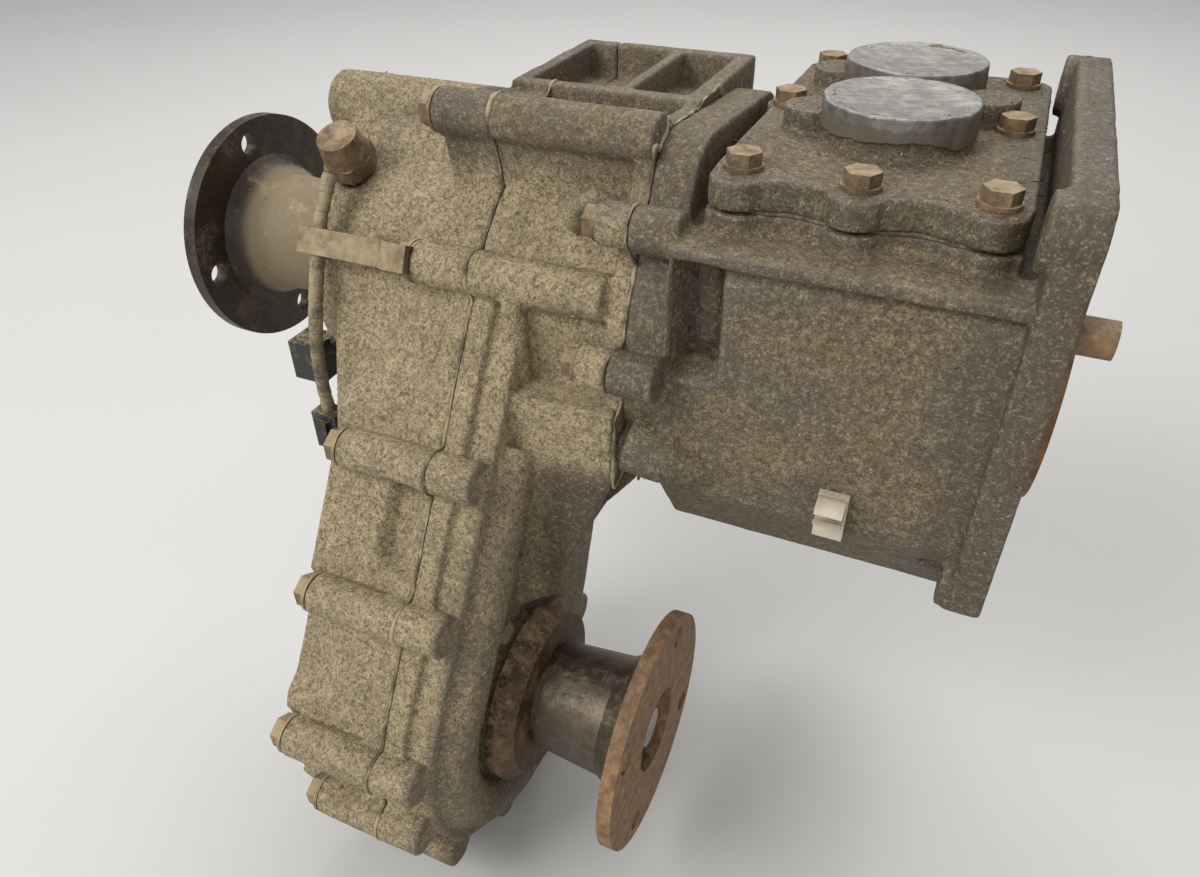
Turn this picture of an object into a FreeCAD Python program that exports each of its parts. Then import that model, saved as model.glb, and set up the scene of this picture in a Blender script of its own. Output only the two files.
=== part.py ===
import FreeCAD, Part
import math
import os
import re
import Sketcher

# Chain-drive two-speed transfer case. Millimetres, +Z up, +X towards the gearbox.
# The origin is on the main shaft's axis, at the face that bolts to the gearbox.

V = FreeCAD.Vector
doc = FreeCAD.newDocument("transfer_case")

# ---------------------------------------------------------------------------
# Driving dimensions
# ---------------------------------------------------------------------------
SIZES = {
    # castings along the main axis
    "adaptor_length": 157,
    "front_case_length": 72,
    "rear_case_depth": 59,
    "rear_housing_depth": 96,
    "rear_leg_depth": 83,
    "wall": 6,
    "main_lobe_radius": 62,
    "front_lobe_radius": 84,
    "rim_overhang": 4,
    "rim_thickness": 11,
    "joint_radius": 72,
    "joint_bolt_radius": 5,
    "axis_drop_angle": 62.9,
    # chain
    "chain_pitch": 9.525,
    "chain_teeth": 30,
    "chain_links": 74,
    "chain_width": 24,
    "chain_middle": 96,
    "link_back": 3.4,
    "link_leg": 5.4,
    # flanges
    "flange_radius": 60,
    "flange_thickness": 7,
    "flange_hole_circle": 98,
    "flange_hole_radius": 5.5,
    "flange_hub_radius": 37,
    "overall_length": 401,
    "front_flange_reach": 126,
    # shafts, bearings and seals
    "main_shaft_radius": 19,
    "front_shaft_radius": 17,
    "counter_shaft_radius": 12,
    "main_bearing_radius": 42,
    "main_bearing_width": 18,
    "front_bearing_radius": 36,
    "front_bearing_width": 16,
    "counter_bearing_radius": 26,
    "counter_bearing_width": 14,
    "ring_wall": 5,
    "seal_wall": 8,
    "seal_width": 9,
    "fit_clearance": 0.04,
    "working_gap": 0.4,
    # gears
    "gear_module": 2.25,
    "input_teeth": 28,
    "counter_drive_teeth": 42,
    "counter_low_teeth": 30,
    "low_teeth": 40,
    "gear_width": 20,
    "gear_room_radius": 52,
    "tooth_backlash": 0.16,
    "pressure_angle": 20,
    "counter_angle": -30,
    # dog clutches
    "dog_count": 24,
    "dog_root_radius": 28,
    "dog_height": 3,
    "dog_width": 8,
    "sleeve_radius": 41,
    "sleeve_width": 16,
    "groove_width": 7,
    "groove_depth": 5,
    "shift_travel": 7,
    "neutral_x": 66,
    "two_wheel_x": 192,
    "hub_width": 12,
    "sleeve_standoff": 0.5,
    # shift rails
    "rail_radius": 7,
    "hi_lo_rail_y": -22,
    "hi_lo_rail_z": 52,
    "four_wd_rail_y": 22,
    "four_wd_rail_z": 52,
    "fork_thickness": 6.2,
    # control cover
    "cover_near_y": -50,
    "cover_far_y": 128,
    "cover_left_x": -133,
    "cover_right_x": -20,
    "mouth_top_z": 71,
    "cover_thickness": 12,
    "gasket_thickness": 1,
    "turret_radius": 30,
    "turret_top_z": 99,
    "turret_spacing": 64,
    "turret_x": -76,
    "turret_near_y": 20,
    "tape_thickness": 0.6,
    # fasteners
    "flange_nut_flats": 30,
    "input_journal_radius": 22,
    "input_bearing_radius": 40,
    "pilot_bore_radius": 13,
    "input_bore_radius": 14,
    "input_bore_depth": 39,
    "retainer_radius": 50,
    "sensor_y": -37.5,
    "sensor_probe_radius": 4.5,
    "sensor_z": -35.5,
    "switch_radius": 8,
    "switch_x": -311,
    "switch_seat": 52,
    "switch_lean": 27,
    "wire_radius": 3.5,
    "mount_near_y": 16,
    "mount_width": 86,
    "mount_top_z": 90,
    "bolt_radius": 5,
    "bolt_head_flats": 14,
    "bolt_head_height": 7,
    "bolt_flange_radius": 9.5,
    "boss_radius": 10,
    "plug_radius": 9,
    "plug_boss_radius": 15,
    "plug_boss_height": 6,
    "plug_reach": 64,
    "breather_radius": 4,
    "breather_x": -297,
    "breather_lean": 82,
    "dowel_radius": 6.5,
    "dowel_length": 24,
    "detent_x": -24,
    "detent_radius": 3,
}

sheet = doc.addObject("Spreadsheet::Sheet", "Sheet")
for row, (name, value) in enumerate(SIZES.items(), start=1):
    sheet.set(f"A{row}", name)
    sheet.set(f"B{row}", str(value))
    sheet.setAlias(f"B{row}", name)
doc.recompute()

# Places worked out from the driving dimensions, as spreadsheet formulas
CENTRES = "((chain_links-chain_teeth)*chain_pitch/2)"
FRONT_Y = f"(-{CENTRES}*cos(axis_drop_angle))"
FRONT_Z = f"(-{CENTRES}*sin(axis_drop_angle))"
FRONT_AXIS = (FRONT_Y, FRONT_Z)
COUNTER_CENTRES = "(gear_module*(input_teeth+counter_drive_teeth)/2)"
COUNTER_AXIS = (f"({COUNTER_CENTRES}*cos(counter_angle))", f"({COUNTER_CENTRES}*sin(counter_angle))")
MAIN_AXIS = ("0", "0")
ADAPTOR_JOINT = "(-adaptor_length)"
CASE_JOINT = "(-adaptor_length-front_case_length)"
CHAIN_BACK = f"({CASE_JOINT}-rear_case_depth)"
REAR_WALL = f"({CASE_JOINT}-rear_housing_depth)"
CHAIN_X = "(-adaptor_length-chain_middle)"

ALIAS = re.compile(r"\b(" + "|".join(sorted(SIZES, key=len, reverse=True)) + r")\b")


def bound(text):
    """The same formula with each size read from the sheet."""
    return ALIAS.sub(r"Sheet.\1", str(text))


def worth(text):
    """What a formula comes to, in millimetres or degrees."""
    return float(sheet.evalExpression(bound(text)))


# ---------------------------------------------------------------------------
# Ways of making a piece
# ---------------------------------------------------------------------------
made = []


def fresh(kind, name):
    """A new document object with its own name."""
    return doc.addObject(kind, name)


def named(piece, label):
    """Marks an object as a finished sub-part whose label names its file."""
    piece.Label = label
    made.append(piece)
    return piece


def place(piece, x="0", y="0", z="0"):
    """Binds an object's position to formulas."""
    for letter, text in zip("xyz", (x, y, z)):
        piece.setExpression(f"Placement.Base.{letter}", bound(text))


def fix_point(sketch, index, part, u, v, label):
    """Holds one point of a sketch at (u, v) from the sketch's origin."""
    for kind, text, tag in (("DistanceX", u, "u"), ("DistanceY", v, "v")):
        rule = sketch.addConstraint(Sketcher.Constraint(kind, -1, 1, index, part, worth(text)))
        sketch.renameConstraint(rule, f"{tag}{label}")
        sketch.setExpression(f"Constraints.{tag}{label}", bound(text))


def polygon(sketch, points):
    """Draws a closed outline of straight lines through (u, v) formulas."""
    flat = [V(worth(u), worth(v), 0) for u, v in points]
    for here, there in zip(flat, flat[1:] + flat[:1]):
        sketch.addGeometry(Part.LineSegment(here, there))
    count = len(points)
    for i in range(count):
        sketch.addConstraint(Sketcher.Constraint("Coincident", i, 2, (i + 1) % count, 1))
    for i, (u, v) in enumerate(points):
        fix_point(sketch, i, 1, u, v, f"_{i}")


def belt(sketch, circles):
    """Draws the outline that a tight belt takes round circles (u, v, radius), given anticlockwise."""
    flat = [(V(worth(u), worth(v), 0), worth(r)) for u, v, r in circles]
    count = len(flat)
    normals = []
    for i in range(count):
        here, there = flat[i], flat[(i + 1) % count]
        gap = there[0] - here[0]
        along = math.atan2(gap.y, gap.x)
        lean = math.acos((here[1] - there[1]) / gap.Length)
        normals.append(along - lean)
    for i, (middle, radius) in enumerate(flat):
        start, end = normals[i - 1], normals[i]
        while end < start:
            end += 2 * math.pi
        circle = Part.Circle(middle, V(0, 0, 1), radius)
        sketch.addGeometry(Part.ArcOfCircle(circle, start, end))
    for i in range(count):
        here, there = flat[i], flat[(i + 1) % count]
        out = V(math.cos(normals[i]), math.sin(normals[i]), 0)
        sketch.addGeometry(Part.LineSegment(here[0] + out * here[1], there[0] + out * there[1]))
    for i in range(count):
        after = (i + 1) % count
        sketch.addConstraint(Sketcher.Constraint("Tangent", i, 2, count + i, 1))
        sketch.addConstraint(Sketcher.Constraint("Tangent", count + i, 2, after, 1))
    for i, (u, v, r) in enumerate(circles):
        fix_point(sketch, i, 3, u, v, f"_{i}")
        rule = sketch.addConstraint(Sketcher.Constraint("Radius", i, worth(r)))
        sketch.renameConstraint(rule, f"r_{i}")
        sketch.setExpression(f"Constraints.r_{i}", bound(r))


AXIS_TURN = {
    "x": FreeCAD.Rotation(V(1, 1, 1), 120),
    "y": FreeCAD.Rotation(V(1, 0, 0), 90),
    "z": FreeCAD.Rotation(),
}


def slab(name, draw, shape, along, start, length, draft=0):
    """An outline drawn across an axis and pushed along it from start, narrowing by a draft angle."""
    sketch = fresh("Sketcher::SketchObject", name + "_outline")
    draw(sketch, shape)
    sketch.Placement = FreeCAD.Placement(V(), AXIS_TURN[along])
    sketch.setExpression(f"Placement.Base.{along}", bound(start))
    push = fresh("Part::Extrusion", name)
    push.Base = sketch
    push.DirMode = "Custom"
    push.Dir = {"x": V(1, 0, 0), "y": V(0, 1, 0), "z": V(0, 0, 1)}[along]
    push.Solid = True
    push.TaperAngle = draft
    if worth(length) < 0:
        push.Reversed = True
        push.setExpression("LengthFwd", bound(f"-({length})"))
    else:
        push.setExpression("LengthFwd", bound(length))
    return push


def rod(name, radius, along, start, length, across=("0", "0")):
    """A cylinder along an axis: across holds its two other coordinates in X, Y, Z order."""
    solid = fresh("Part::Cylinder", name)
    solid.setExpression("Radius", bound(radius))
    solid.setExpression("Height", bound(length))
    turn = {"x": FreeCAD.Rotation(V(0, 1, 0), 90), "y": FreeCAD.Rotation(V(1, 0, 0), -90), "z": FreeCAD.Rotation()}
    solid.Placement = FreeCAD.Placement(V(), turn[along])
    spots = list(across)
    spots.insert("xyz".index(along), start)
    place(solid, *spots)
    return solid


def block(name, low, size):
    """A box from its lowest corner, with its three lengths."""
    solid = fresh("Part::Box", name)
    for side, text in zip(("Length", "Width", "Height"), size):
        solid.setExpression(side, bound(text))
    place(solid, *low)
    return solid


def join(name, solids):
    whole = fresh("Part::MultiFuse", name)
    whole.Shapes = solids
    whole.Refine = True
    return whole


def carve(name, base, tools):
    """The base with every tool cut out of it."""
    if len(tools) == 1:
        tool = tools[0]
    else:
        tool = fresh("Part::MultiFuse", name + "_tools")
        tool.Shapes = tools
    rest = fresh("Part::Cut", name)
    rest.Base = base
    rest.Tool = tool
    rest.Refine = True
    return rest


def origin_plane(body, role):
    return next(item for item in body.Origin.OriginFeatures if item.Role == role)


def turned(label, outline, axis=MAIN_AXIS, finished=True):
    """A body turned about an axis along X from an outline of (x, radius) formulas."""
    body = fresh("PartDesign::Body", label + "_body")
    sketch = body.newObject("Sketcher::SketchObject", label + "_profile")
    sketch.AttachmentSupport = [(origin_plane(body, "XZ_Plane"), "")]
    sketch.MapMode = "FlatFace"
    polygon(sketch, outline)
    spin = body.newObject("PartDesign::Revolution", label + "_turn")
    spin.Profile = sketch
    spin.ReferenceAxis = (sketch, ["H_Axis"])
    spin.Angle = 360
    place(body, "0", *axis)
    return named(body, label) if finished else body


def drilled(body, label, radius, circle, count, first, start, depth):
    """Cuts a ring of holes along +X into a turned body, from a start plane, with a polar pattern."""
    sketch = body.newObject("Sketcher::SketchObject", label + "_hole")
    sketch.AttachmentSupport = [(origin_plane(body, "YZ_Plane"), "")]
    sketch.MapMode = "FlatFace"
    sketch.setExpression("AttachmentOffset.Base.z", bound(start))
    u, v = f"({circle})/2*cos({first})", f"({circle})/2*sin({first})"
    sketch.addGeometry(Part.Circle(V(worth(u), worth(v), 0), V(0, 0, 1), worth(radius)))
    fix_point(sketch, 0, 3, u, v, "_centre")
    rule = sketch.addConstraint(Sketcher.Constraint("Radius", 0, worth(radius)))
    sketch.renameConstraint(rule, "bore")
    sketch.setExpression("Constraints.bore", bound(radius))
    doc.recompute()
    before = body.Shape.Volume
    pocket = body.newObject("PartDesign::Pocket", label + "_pocket")
    pocket.Profile = sketch
    pocket.Reversed = True
    pocket.setExpression("Length", bound(depth))
    ring = body.newObject("PartDesign::PolarPattern", label + "_ring")
    ring.Originals = [pocket]
    ring.Axis = (origin_plane(body, "X_Axis"), [""])
    ring.Angle = 360
    ring.Occurrences = count
    body.Tip = ring
    doc.recompute()
    if body.Shape.Volume >= before:
        raise RuntimeError(f"{label}: the holes cut nothing")
    return body


def tube_outline(left, right, inner, outer):
    """The rectangle that turns into a plain ring."""
    return [(left, inner), (right, inner), (right, outer), (left, outer)]


def shaped(label, shape):
    """A piece whose toothed or repeated form is worked out from the sheet by formula."""
    piece = fresh("Part::Feature", label + "_form")
    piece.Shape = shape
    return named(piece, label)


def ring_of(name, sizes, axis=MAIN_AXIS):
    """Several plain rings (left, right, inner, outer) about one axis, as one group of solids."""
    rings = []
    for i, (left, right, inner, outer) in enumerate(sizes):
        outside = rod(f"{name}_outside{i}", outer, "x", left, f"({right})-({left})", axis)
        inside = rod(f"{name}_inside{i}", inner, "x", f"({left})-1", f"({right})-({left})+2", axis)
        rings.append(carve(f"{name}_ring{i}", outside, [inside]))
    if len(rings) == 1:
        return named(rings[0], name)
    group = fresh("Part::Compound", name + "_group")
    group.Links = rings
    return named(group, name)


# ---------------------------------------------------------------------------
# Toothed wheels, worked out by formula
# ---------------------------------------------------------------------------
def across_x(x, radius, degrees):
    """A point at an angle from +Y towards +Z, in the plane across X."""
    turn = math.radians(degrees)
    return V(x, radius * math.cos(turn), radius * math.sin(turn))


def wheel(outline, x, length):
    """A flat outline of (radius, degrees) points across X, pushed along X."""
    points = [across_x(x, radius, degrees) for radius, degrees in outline]
    return Part.Face(Part.makePolygon(points + points[:1])).extrude(V(length, 0, 0))


def round_bar(x, length, radius):
    return Part.makeCylinder(radius, length, V(x, 0, 0), V(1, 0, 0))


def involute(angle):
    return math.tan(angle) - angle


def gear_outline(teeth, first):
    """An involute gear, with the middle of a tooth at the angle first."""
    module = worth("gear_module")
    pitch = module * teeth / 2
    press = math.radians(worth("pressure_angle"))
    base = pitch * math.cos(press)
    root, tip = pitch - 1.25 * module, pitch + module
    half = math.pi / (2 * teeth) - worth("tooth_backlash") / (2 * pitch)
    radii = [max(base, root + 0.1), pitch, tip]
    spread = [math.degrees(half + involute(press) - involute(math.acos(min(1, base / r)))) for r in radii]
    outline = []
    for k in range(teeth):
        middle = first + 360 * k / teeth
        outline.append((root, middle - spread[0]))
        outline += [(r, middle - s) for r, s in zip(radii, spread)]
        outline += [(r, middle + s) for r, s in zip(reversed(radii), reversed(spread))]
        outline.append((root, middle + spread[0]))
    return outline


def dog_outline(low, high, share):
    """Straight-sided dog teeth between two radii, each taking a share of its pitch, one at angle 0."""
    count = int(worth("dog_count"))
    step = 360 / count
    outline = []
    for k in range(count):
        middle = k * step
        outline += [(low, middle - step * share / 2), (high, middle - step * share * 0.42)]
        outline += [(high, middle + step * share * 0.42), (low, middle + step * share / 2)]
    return outline


def external_dogs(x, length):
    root = worth("dog_root_radius")
    return wheel(dog_outline(root, root + worth("dog_height"), 0.46), x, length)


def sleeve_shape(left, right, groove):
    """A sliding sleeve: dog teeth inside, a fork groove outside."""
    gap = worth("working_gap")
    root = worth("dog_root_radius")
    solid = round_bar(left, right - left, worth("sleeve_radius"))
    bore = round_bar(left - 1, right - left + 2, root + worth("dog_height") + gap)
    teeth = []
    step = 360 / worth("dog_count")
    for radius, degrees in dog_outline(root + worth("dog_height") + gap + 0.5, root + gap, 0.44):
        teeth.append((radius, degrees + step / 2))
    body = solid.cut(bore)
    count = int(worth("dog_count"))
    for k in range(count):
        corner = teeth[4 * k:4 * k + 4]
        body = body.fuse(wheel(corner, left, right - left))
    half = worth("groove_width") / 2
    ring = round_bar(groove - half, 2 * half, worth("sleeve_radius") + 1)
    ring = ring.cut(round_bar(groove - half, 2 * half, worth("sleeve_radius") - worth("groove_depth")))
    return body.cut(ring).removeSplitter()


def sprocket_outline():
    """Chain wheel teeth, each midway between two link joints, with a joint at the tangent point."""
    teeth = int(worth("chain_teeth"))
    pitch_radius = worth("chain_pitch") / 2 / math.sin(math.pi / teeth)
    step = 360 / teeth
    first = joint_angle(0) + step / 2
    root, tip = pitch_radius - worth("link_leg") - 1.1, pitch_radius - 0.8
    outline = []
    for k in range(teeth):
        middle = first + k * step
        outline += [(root, middle - step * 0.31), (tip, middle - step * 0.15)]
        outline += [(tip, middle + step * 0.15), (root, middle + step * 0.31)]
    return outline


def joint_angle(k):
    """Where link joint k lies on the drive sprocket, as an angle from +Y."""
    drop = -180 + worth("axis_drop_angle")
    return drop - 90 - 360 * k / worth("chain_teeth") + 180 * 2


def link_joint(k):
    """Link joint k of the chain loop: round the drive sprocket, down, round the driven one, and up."""
    teeth, links = int(worth("chain_teeth")), int(worth("chain_links"))
    pitch = worth("chain_pitch")
    pitch_radius = pitch / 2 / math.sin(math.pi / teeth)
    k %= links
    start = across_x(0, pitch_radius, joint_angle(0))
    end = across_x(0, pitch_radius, joint_angle(teeth / 2))
    lower = V(0, worth(FRONT_Y), worth(FRONT_Z))
    down = lower / lower.Length
    if k <= teeth / 2:
        return across_x(0, pitch_radius, joint_angle(k))
    if k < links / 2:
        return end + down * pitch * (k - teeth / 2)
    if k <= links / 2 + teeth / 2:
        return lower + across_x(0, pitch_radius, joint_angle(k - links / 2 + teeth / 2))
    return lower + start - down * pitch * (k - links / 2 - teeth / 2)


# ---------------------------------------------------------------------------
# Stations along the X axis
# ---------------------------------------------------------------------------
MAIN_R = "main_shaft_radius"
FRONT_R = "front_shaft_radius"
COUNTER_R = "counter_shaft_radius"
INPUT_DOGS = "(-neutral_x+sleeve_width/2+sleeve_standoff)"
INPUT_GEAR = f"({INPUT_DOGS}+dog_width)"
LOW_DOGS = "(-neutral_x-sleeve_width/2-sleeve_standoff)"
LOW_GEAR = f"({LOW_DOGS}-dog_width)"
CHAIN_DOGS = "(-two_wheel_x-sleeve_width/2-sleeve_standoff)"
DRIVE_SIDE = f"({CHAIN_X}+chain_width/2)"
FAR_SIDE = f"({CHAIN_X}-chain_width/2)"
CENTRE_BEARING = f"({ADAPTOR_JOINT}-main_bearing_width)"
REAR_BEARING = f"({REAR_WALL}+wall)"
REAR_END = "(-overall_length)"
REAR_SEAL = f"({REAR_WALL}-seal_width)"
FRONT_END = "(-front_flange_reach)"
FRONT_WALL = f"({CASE_JOINT}+24)"
FRONT_BEARING = f"({FRONT_WALL}-front_bearing_width)"
FRONT_SEAL = f"({FRONT_WALL}+8)"
LOWER_BEARING = f"({CHAIN_BACK}+wall)"
COUNTER_REAR = f"({ADAPTOR_JOINT}-counter_bearing_width)"
COUNTER_FRONT = "(-wall-counter_bearing_width-2)"
INPUT_BEARING = "(-wall-main_bearing_width)"

# ---------------------------------------------------------------------------
# Rear output: main shaft, hubs, flange, nut and seal
# ---------------------------------------------------------------------------
turned("main_shaft", [
    ("-40", "0.01"), ("-40", "9"), (f"{INPUT_DOGS}-3", "9"), (f"{INPUT_DOGS}-3", MAIN_R),
    (f"{REAR_SEAL}+seal_width+1", MAIN_R), (f"{REAR_SEAL}+seal_width+1", f"{MAIN_R}-2"), (f"{REAR_END}+18", f"{MAIN_R}-2"),
    (f"{REAR_END}+18", "10"), (f"{REAR_END}+3", "10"), (f"{REAR_END}+3", "0.01"),
])


def hub(label, middle):
    """A clutch hub fixed on the main shaft, with dog teeth outside."""
    x, width = worth(middle) - worth("hub_width") / 2, worth("hub_width")
    bore = round_bar(x - 1, width + 2, worth(MAIN_R) + worth("fit_clearance"))
    return shaped(label, external_dogs(x, width).cut(bore))


hub("hi_lo_hub", "-neutral_x")
hub("four_wd_hub", "-two_wheel_x")

for label, middle in (("hi_lo_sleeve", "-neutral_x"), ("four_wd_sleeve", "-two_wheel_x")):
    x, half = worth(middle), worth("sleeve_width") / 2
    shaped(label, sleeve_shape(x - half, x + half, x))

HUB_R = "flange_hub_radius"
SEAT_R = "(main_shaft_radius+6)"


def output_flange(label, face, seal, shaft, axis, way, first_hole):
    """A splined drive flange: disc, tapered hub with its seal land, and a recess for the nut."""
    def step(distance):
        return f"({face}{'+' if way > 0 else '-'}({distance}))"
    body = turned(label, [
        (step("0"), "21.5"), (step("0"), "flange_radius"), (step("flange_thickness"), "flange_radius"),
        (step("flange_thickness"), f"{HUB_R}+3"), (step("flange_thickness+3"), HUB_R),
        (step("flange_thickness+14"), f"{HUB_R}-6"), (f"{seal}-({way}*7)", f"{SEAT_R}+3"),
        (f"{seal}-({way}*7)", SEAT_R), (f"{seal}+({way}*seal_width)", SEAT_R),
        (f"{seal}+({way}*seal_width)", f"{shaft}+fit_clearance"),
        (step("18"), f"{shaft}+fit_clearance"), (step("18"), "21.5"),
    ], axis)
    start = face if way > 0 else f"({face}-flange_thickness)"
    return drilled(body, label, "flange_hole_radius", "flange_hole_circle", 4, first_hole,
                   f"{start}-1", "flange_thickness+2")


output_flange("rear_flange", REAR_END, REAR_SEAL, f"({MAIN_R}-2)", MAIN_AXIS, 1, 8)
output_flange("front_flange", FRONT_END, f"({FRONT_SEAL}+seal_width)", f"({FRONT_R}-2)", FRONT_AXIS, -1, 57)


def flange_nut(label, start, bore, axis):
    """A hexagon nut with a thin staked collar."""
    y, z = worth(axis[0]), worth(axis[1])
    hexagon = wheel([(worth("flange_nut_flats") / math.sqrt(3), 60 * k) for k in range(6)], start, 9)
    collar = round_bar(start, 11, bore + 3)
    nut = hexagon.fuse(collar).cut(round_bar(start - 1, 14, bore))
    nut.translate(V(0, y, z))
    return shaped(label, nut.removeSplitter())


NUT_BORE = 10 + worth("fit_clearance")
flange_nut("rear_flange_nut", worth(REAR_END) + 6.8, NUT_BORE, MAIN_AXIS)
flange_nut("front_flange_nut", worth(FRONT_END) - 17.8, NUT_BORE, FRONT_AXIS)


def oil_seal(label, start, land, axis):
    """A lipped seal: an outer case with an inner lip leaning on the land."""
    inner = f"({land}+fit_clearance)"
    return turned(label, [
        (start, f"{land}+seal_wall"), (start, f"{land}+3"), (f"{start}+2", f"{land}+3"),
        (f"{start}+3", inner), (f"{start}+6", inner), (f"{start}+6", f"{land}+2"),
        (f"{start}+seal_width", f"{land}+2"), (f"{start}+seal_width", f"{land}+seal_wall"),
    ], axis)


oil_seal("rear_oil_seal", REAR_SEAL, SEAT_R, MAIN_AXIS)
oil_seal("front_oil_seal", FRONT_SEAL, SEAT_R, FRONT_AXIS)
oil_seal("input_oil_seal", "(-wall+0.6)", "input_journal_radius", MAIN_AXIS)
turned("rear_dust_shield", [
    (f"{REAR_SEAL}-5", f"{SEAT_R}+fit_clearance"), (f"{REAR_SEAL}-5", f"{SEAT_R}+15"),
    (f"{REAR_SEAL}+2", f"{SEAT_R}+17"), (f"{REAR_SEAL}+2", f"{SEAT_R}+15.5"),
    (f"{REAR_SEAL}-3.5", f"{SEAT_R}+14"), (f"{REAR_SEAL}-3.5", f"{SEAT_R}+fit_clearance"),
])

# ---------------------------------------------------------------------------
# Front output: shaft, dust shield and chain drive
# ---------------------------------------------------------------------------
turned("front_output_shaft", [
    (f"{LOWER_BEARING}+1", "0.01"), (f"{LOWER_BEARING}+1", FRONT_R), (f"{FRONT_SEAL}-1", FRONT_R),
    (f"{FRONT_SEAL}-1", f"{FRONT_R}-2"), (f"{FRONT_END}-18", f"{FRONT_R}-2"),
    (f"{FRONT_END}-18", "10"), (f"{FRONT_END}-3", "10"), (f"{FRONT_END}-3", "0.01"),
], FRONT_AXIS)

SHIELD_X = f"({FRONT_SEAL}+seal_width+3)"
turned("front_dust_shield", [
    (SHIELD_X, f"{SEAT_R}+fit_clearance"), (SHIELD_X, f"{SEAT_R}+17"), (f"{SHIELD_X}-8", f"{SEAT_R}+24"),
    (f"{SHIELD_X}-12", f"{SEAT_R}+24"), (f"{SHIELD_X}-12", f"{SEAT_R}+22.5"),
    (f"{SHIELD_X}-8", f"{SEAT_R}+22.5"), (f"{SHIELD_X}-1.5", f"{SEAT_R}+15.5"), (f"{SHIELD_X}-1.5", f"{SEAT_R}+fit_clearance"),
], FRONT_AXIS)


def sprocket(label, bore, axis, parts=()):
    """A chain wheel on its axis, with a plain rim under the teeth and any extra solids."""
    width = worth("chain_width") - 2
    x = worth(CHAIN_X) - width / 2
    body = wheel(sprocket_outline(), x, width)
    for extra in parts:
        body = body.fuse(extra)
    body = body.cut(round_bar(x - 40, width + 120, bore))
    body.translate(V(0, worth(axis[0]), worth(axis[1])))
    return shaped(label, body.removeSplitter())


NEEDLE_R = worth(MAIN_R) + 4
dogs_x = worth(CHAIN_DOGS) - worth("dog_width")
neck = round_bar(worth(DRIVE_SIDE) - 2, dogs_x - worth(DRIVE_SIDE) + 3, worth("dog_root_radius"))
sprocket("drive_sprocket", NEEDLE_R + worth("fit_clearance"), MAIN_AXIS,
         [neck, external_dogs(dogs_x, worth("dog_width"))])
sprocket("driven_sprocket", worth(FRONT_R) + worth("fit_clearance"), FRONT_AXIS)


def link_plate(joint, after, x, width):
    """One pack of toothed link plates between two link joints, its two legs pointing at the sprocket."""
    pitch = worth("chain_pitch")
    back, leg = worth("link_back"), worth("link_leg")
    outline = [
        (-2.4, -0.5), (-0.9, -leg), (0.9, -leg), (2.2, -0.3), (pitch - 2.2, -0.3),
        (pitch - 0.9, -leg), (pitch + 0.9, -leg), (pitch + 2.4, -0.5), (pitch + 2.0, back), (-2.0, back),
    ]
    along = (after - joint) / (after - joint).Length
    out = V(0, -along.z, along.y)
    points = [V(x, joint.y, joint.z) + along * u + out * v for u, v in outline]
    return Part.Face(Part.makePolygon(points + points[:1])).extrude(V(width, 0, 0))


def chain_shape():
    """The silent chain: wide link packs in pairs outside, single packs between them."""
    links, width = int(worth("chain_links")), worth("chain_width")
    left, slot = worth(FAR_SIDE), 0.1
    plates = []
    for k in range(links):
        joint, after = link_joint(k), link_joint(k + 1)
        if k % 2:
            plates.append(link_plate(joint, after, left + width * 0.3, width * 0.4))
        else:
            plates.append(link_plate(joint, after, left, width * 0.3 - slot))
            plates.append(link_plate(joint, after, left + width * 0.7 + slot, width * 0.3 - slot))
    return Part.makeCompound(plates)


shaped("drive_chain", chain_shape())

# ---------------------------------------------------------------------------
# Input gear, counter gear and low gear
# ---------------------------------------------------------------------------
COUNTER_TURN = worth("counter_angle")
GEAR_WIDTH = worth("gear_width")


def meshed(teeth, facing, gap):
    """A gear outline with a tooth, or a gap, facing an angle."""
    return gear_outline(teeth, facing + (180 / teeth if gap else 0))


input_x, low_x = worth(INPUT_GEAR), worth(LOW_GEAR) - GEAR_WIDTH
blank = wheel(meshed(int(worth("input_teeth")), COUNTER_TURN, False), input_x, GEAR_WIDTH)
blank = blank.fuse(external_dogs(worth(INPUT_DOGS), worth("dog_width")))
journal_x = input_x + GEAR_WIDTH
blank = blank.fuse(round_bar(journal_x - 1, -2 - journal_x, worth("input_journal_radius")))
blank = blank.cut(round_bar(worth(INPUT_DOGS) - 1, 80, worth("pilot_bore_radius")))
blank = blank.cut(round_bar(-worth("input_bore_depth"), 60, worth("input_bore_radius")))
shaped("input_gear", blank.removeSplitter())

blank = wheel(meshed(int(worth("low_teeth")), COUNTER_TURN, False), low_x, GEAR_WIDTH)
blank = blank.fuse(external_dogs(worth(LOW_GEAR), worth("dog_width")))
blank = blank.cut(round_bar(low_x - 1, GEAR_WIDTH + worth("dog_width") + 2, NEEDLE_R + worth("fit_clearance")))
shaped("low_gear", blank.removeSplitter())

counter_left, counter_right = worth(COUNTER_REAR) + 1, -worth("wall") - 3
cluster = round_bar(counter_left, counter_right - counter_left, worth(COUNTER_R))
inner_left, inner_right = worth(ADAPTOR_JOINT) + 2, worth(COUNTER_FRONT) - 1
cluster = cluster.fuse(round_bar(inner_left, inner_right - inner_left, worth(COUNTER_R) + 7))
drive_teeth, low_teeth = int(worth("counter_drive_teeth")), int(worth("counter_low_teeth"))
cluster = cluster.fuse(wheel(meshed(drive_teeth, COUNTER_TURN + 180, True), input_x + 0.5, GEAR_WIDTH - 1))
cluster = cluster.fuse(wheel(meshed(low_teeth, COUNTER_TURN + 180, True), low_x + 0.5, GEAR_WIDTH - 1))
cluster.translate(V(0, worth(COUNTER_AXIS[0]), worth(COUNTER_AXIS[1])))
shaped("counter_gear", cluster.removeSplitter())

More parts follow.
